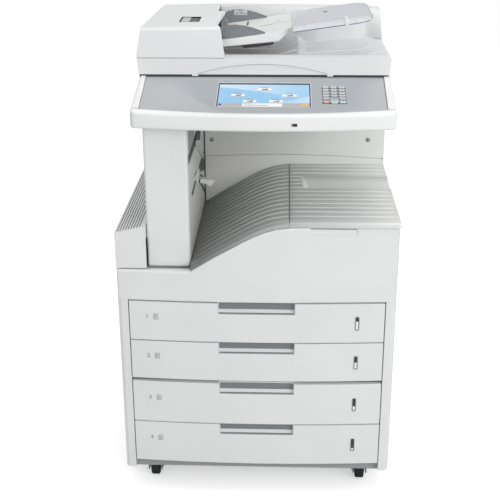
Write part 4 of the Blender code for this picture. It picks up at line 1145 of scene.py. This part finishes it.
# -------------------- casters
# outline of the brake lever: y from the axle, and z
BRAKE = ((27, 34), (38, 28), (39, 32), (22, 53), (8, 56), (8, 53.5))
for tag in ("front_left", "front_right", "rear_left", "rear_right"):
    x0, x1, y0, y1, z0, z1 = box_mm("caster_wheel_" + tag)
    wheel = ((x0 + x1) / 2, (y0 + y1) / 2, (z0 + z1) / 2)
    for side in (-1, 1):
        s.turned([(side * 10.4, 5), (side * 11.4, 17), (side * 12.2, 15), (side * 12.2, 6)], wheel, 'X')
        for k in range(5):
            a = 2 * math.pi * k / 5
            cy, cz = wheel[1] + 11 * math.cos(a), wheel[2] + 11 * math.sin(a)
            s.slab(circle(cy, cz, 2.2, 10), 'X', wheel[0] + side * 11.8, wheel[0] + side * 12.7)
    s.piece("hub_" + tag, GUIDE, 0.3, "wheel_" + tag)
    fork_x0, fork_x1, fork_y0, _, _, top = box_mm("caster_fork_" + tag)
    for side in (-1, 1):
        s.turned([(side * 17.9, 6.2), (side * 19.6, 6.2), (side * 20.2, 4.8)], wheel, 'X', 6)
    s.turned([(top - 3, 13), (top - 0.2, 17)], ((fork_x0 + fork_x1) / 2, fork_y0 + 14, 0), 'Z')
    s.piece("axle_nuts_" + tag, STEEL, 0.3, "fork_" + tag)
    if tag.startswith("front"):
        s.loft([[(wheel[0] + x, wheel[1] + y, z) for y, z in BRAKE] for x in (-9, 9)])
        s.piece("brake_" + tag, DARK, 0.6, "fork_" + tag)

# -------------------- stage


def floor_finish():
    """Nearly white floor: the camera sees part of it as plain light, and other rays a greyer floor."""
    f = Finish("floor_white")
    camera = f.node("LightPath", {}).outputs["Is Camera Ray"]
    seen = f.mix(f.noise(0.8, 2.0), linear((249, 249, 249)), linear((252, 252, 252)))
    f.set("Base Color", f.mix(camera, linear((205, 205, 205)), seen))
    f.set("Roughness", 0.9)
    f.set("Emission Color", (1.0, 1.0, 1.0))
    f.set("Emission Strength", f.math('MULTIPLY', camera, 0.45))
    return f.mat


def stage():
    """White floor, even white surroundings, soft lights and the camera at the photograph's angle."""
    bm = bmesh.new()
    bmesh.ops.create_grid(bm, x_segments=1, y_segments=1, size=30.0)
    me = bpy.data.meshes.new("floor")
    bm.to_mesh(me)
    bm.free()
    floor = bpy.data.objects.new("floor", me)
    SCENE.collection.objects.link(floor)
    me.materials.append(floor_finish())

    world = bpy.data.worlds.new("studio")
    world.use_nodes = True
    SCENE.world = world
    tree = world.node_tree
    back = tree.nodes["Background"]
    back.inputs["Color"].default_value = (1.0, 1.0, 1.0, 1.0)
    rays = tree.nodes.new("ShaderNodeLightPath")
    level = tree.nodes.new("ShaderNodeMapRange")
    level.inputs["To Min"].default_value = 0.56
    level.inputs["To Max"].default_value = 1.0
    tree.links.new(rays.outputs["Is Camera Ray"], level.inputs["Value"])
    tree.links.new(level.outputs["Result"], back.inputs["Strength"])

    for name, at, aim, size, power in (("key", (2.3, -2.8, 2.0), (0.0, 0.0, 0.8), 2.0, 50.0),
                                       ("fill", (-0.9, -3.6, 1.6), (0.0, 0.0, 0.9), 2.6, 15.0),
                                       ("top", (0.2, -0.2, 3.6), (0.0, 0.0, 1.0), 2.4, 30.0)):
        lamp = bpy.data.lights.new(name, 'AREA')
        lamp.energy = power
        lamp.size = size
        ob = bpy.data.objects.new(name, lamp)
        ob.location = at
        ob.rotation_euler = (Vector(aim) - Vector(at)).to_track_quat('-Z', 'Y').to_euler()
        SCENE.collection.objects.link(ob)

    SCENE.view_settings.view_transform = 'Standard'
    cam = bpy.data.cameras.new("camera")
    cam.lens = 71.32
    cam.sensor_width = 36.0
    cam.clip_end = 60.0
    ob = bpy.data.objects.new("camera", cam)
    pitch = math.radians(21.54)
    yaw = math.radians(2.08)
    roll = math.radians(-0.17)
    turn = Matrix.Rotation(yaw, 4, 'Z') @ Matrix.Rotation(math.pi / 2 - pitch, 4, 'X')
    turn = turn @ Matrix.Rotation(roll, 4, 'Z')
    ob.matrix_world = Matrix.Translation((0.0617, -2.3959, 1.4857)) @ turn
    SCENE.collection.objects.link(ob)
    SCENE.camera = ob


stage()
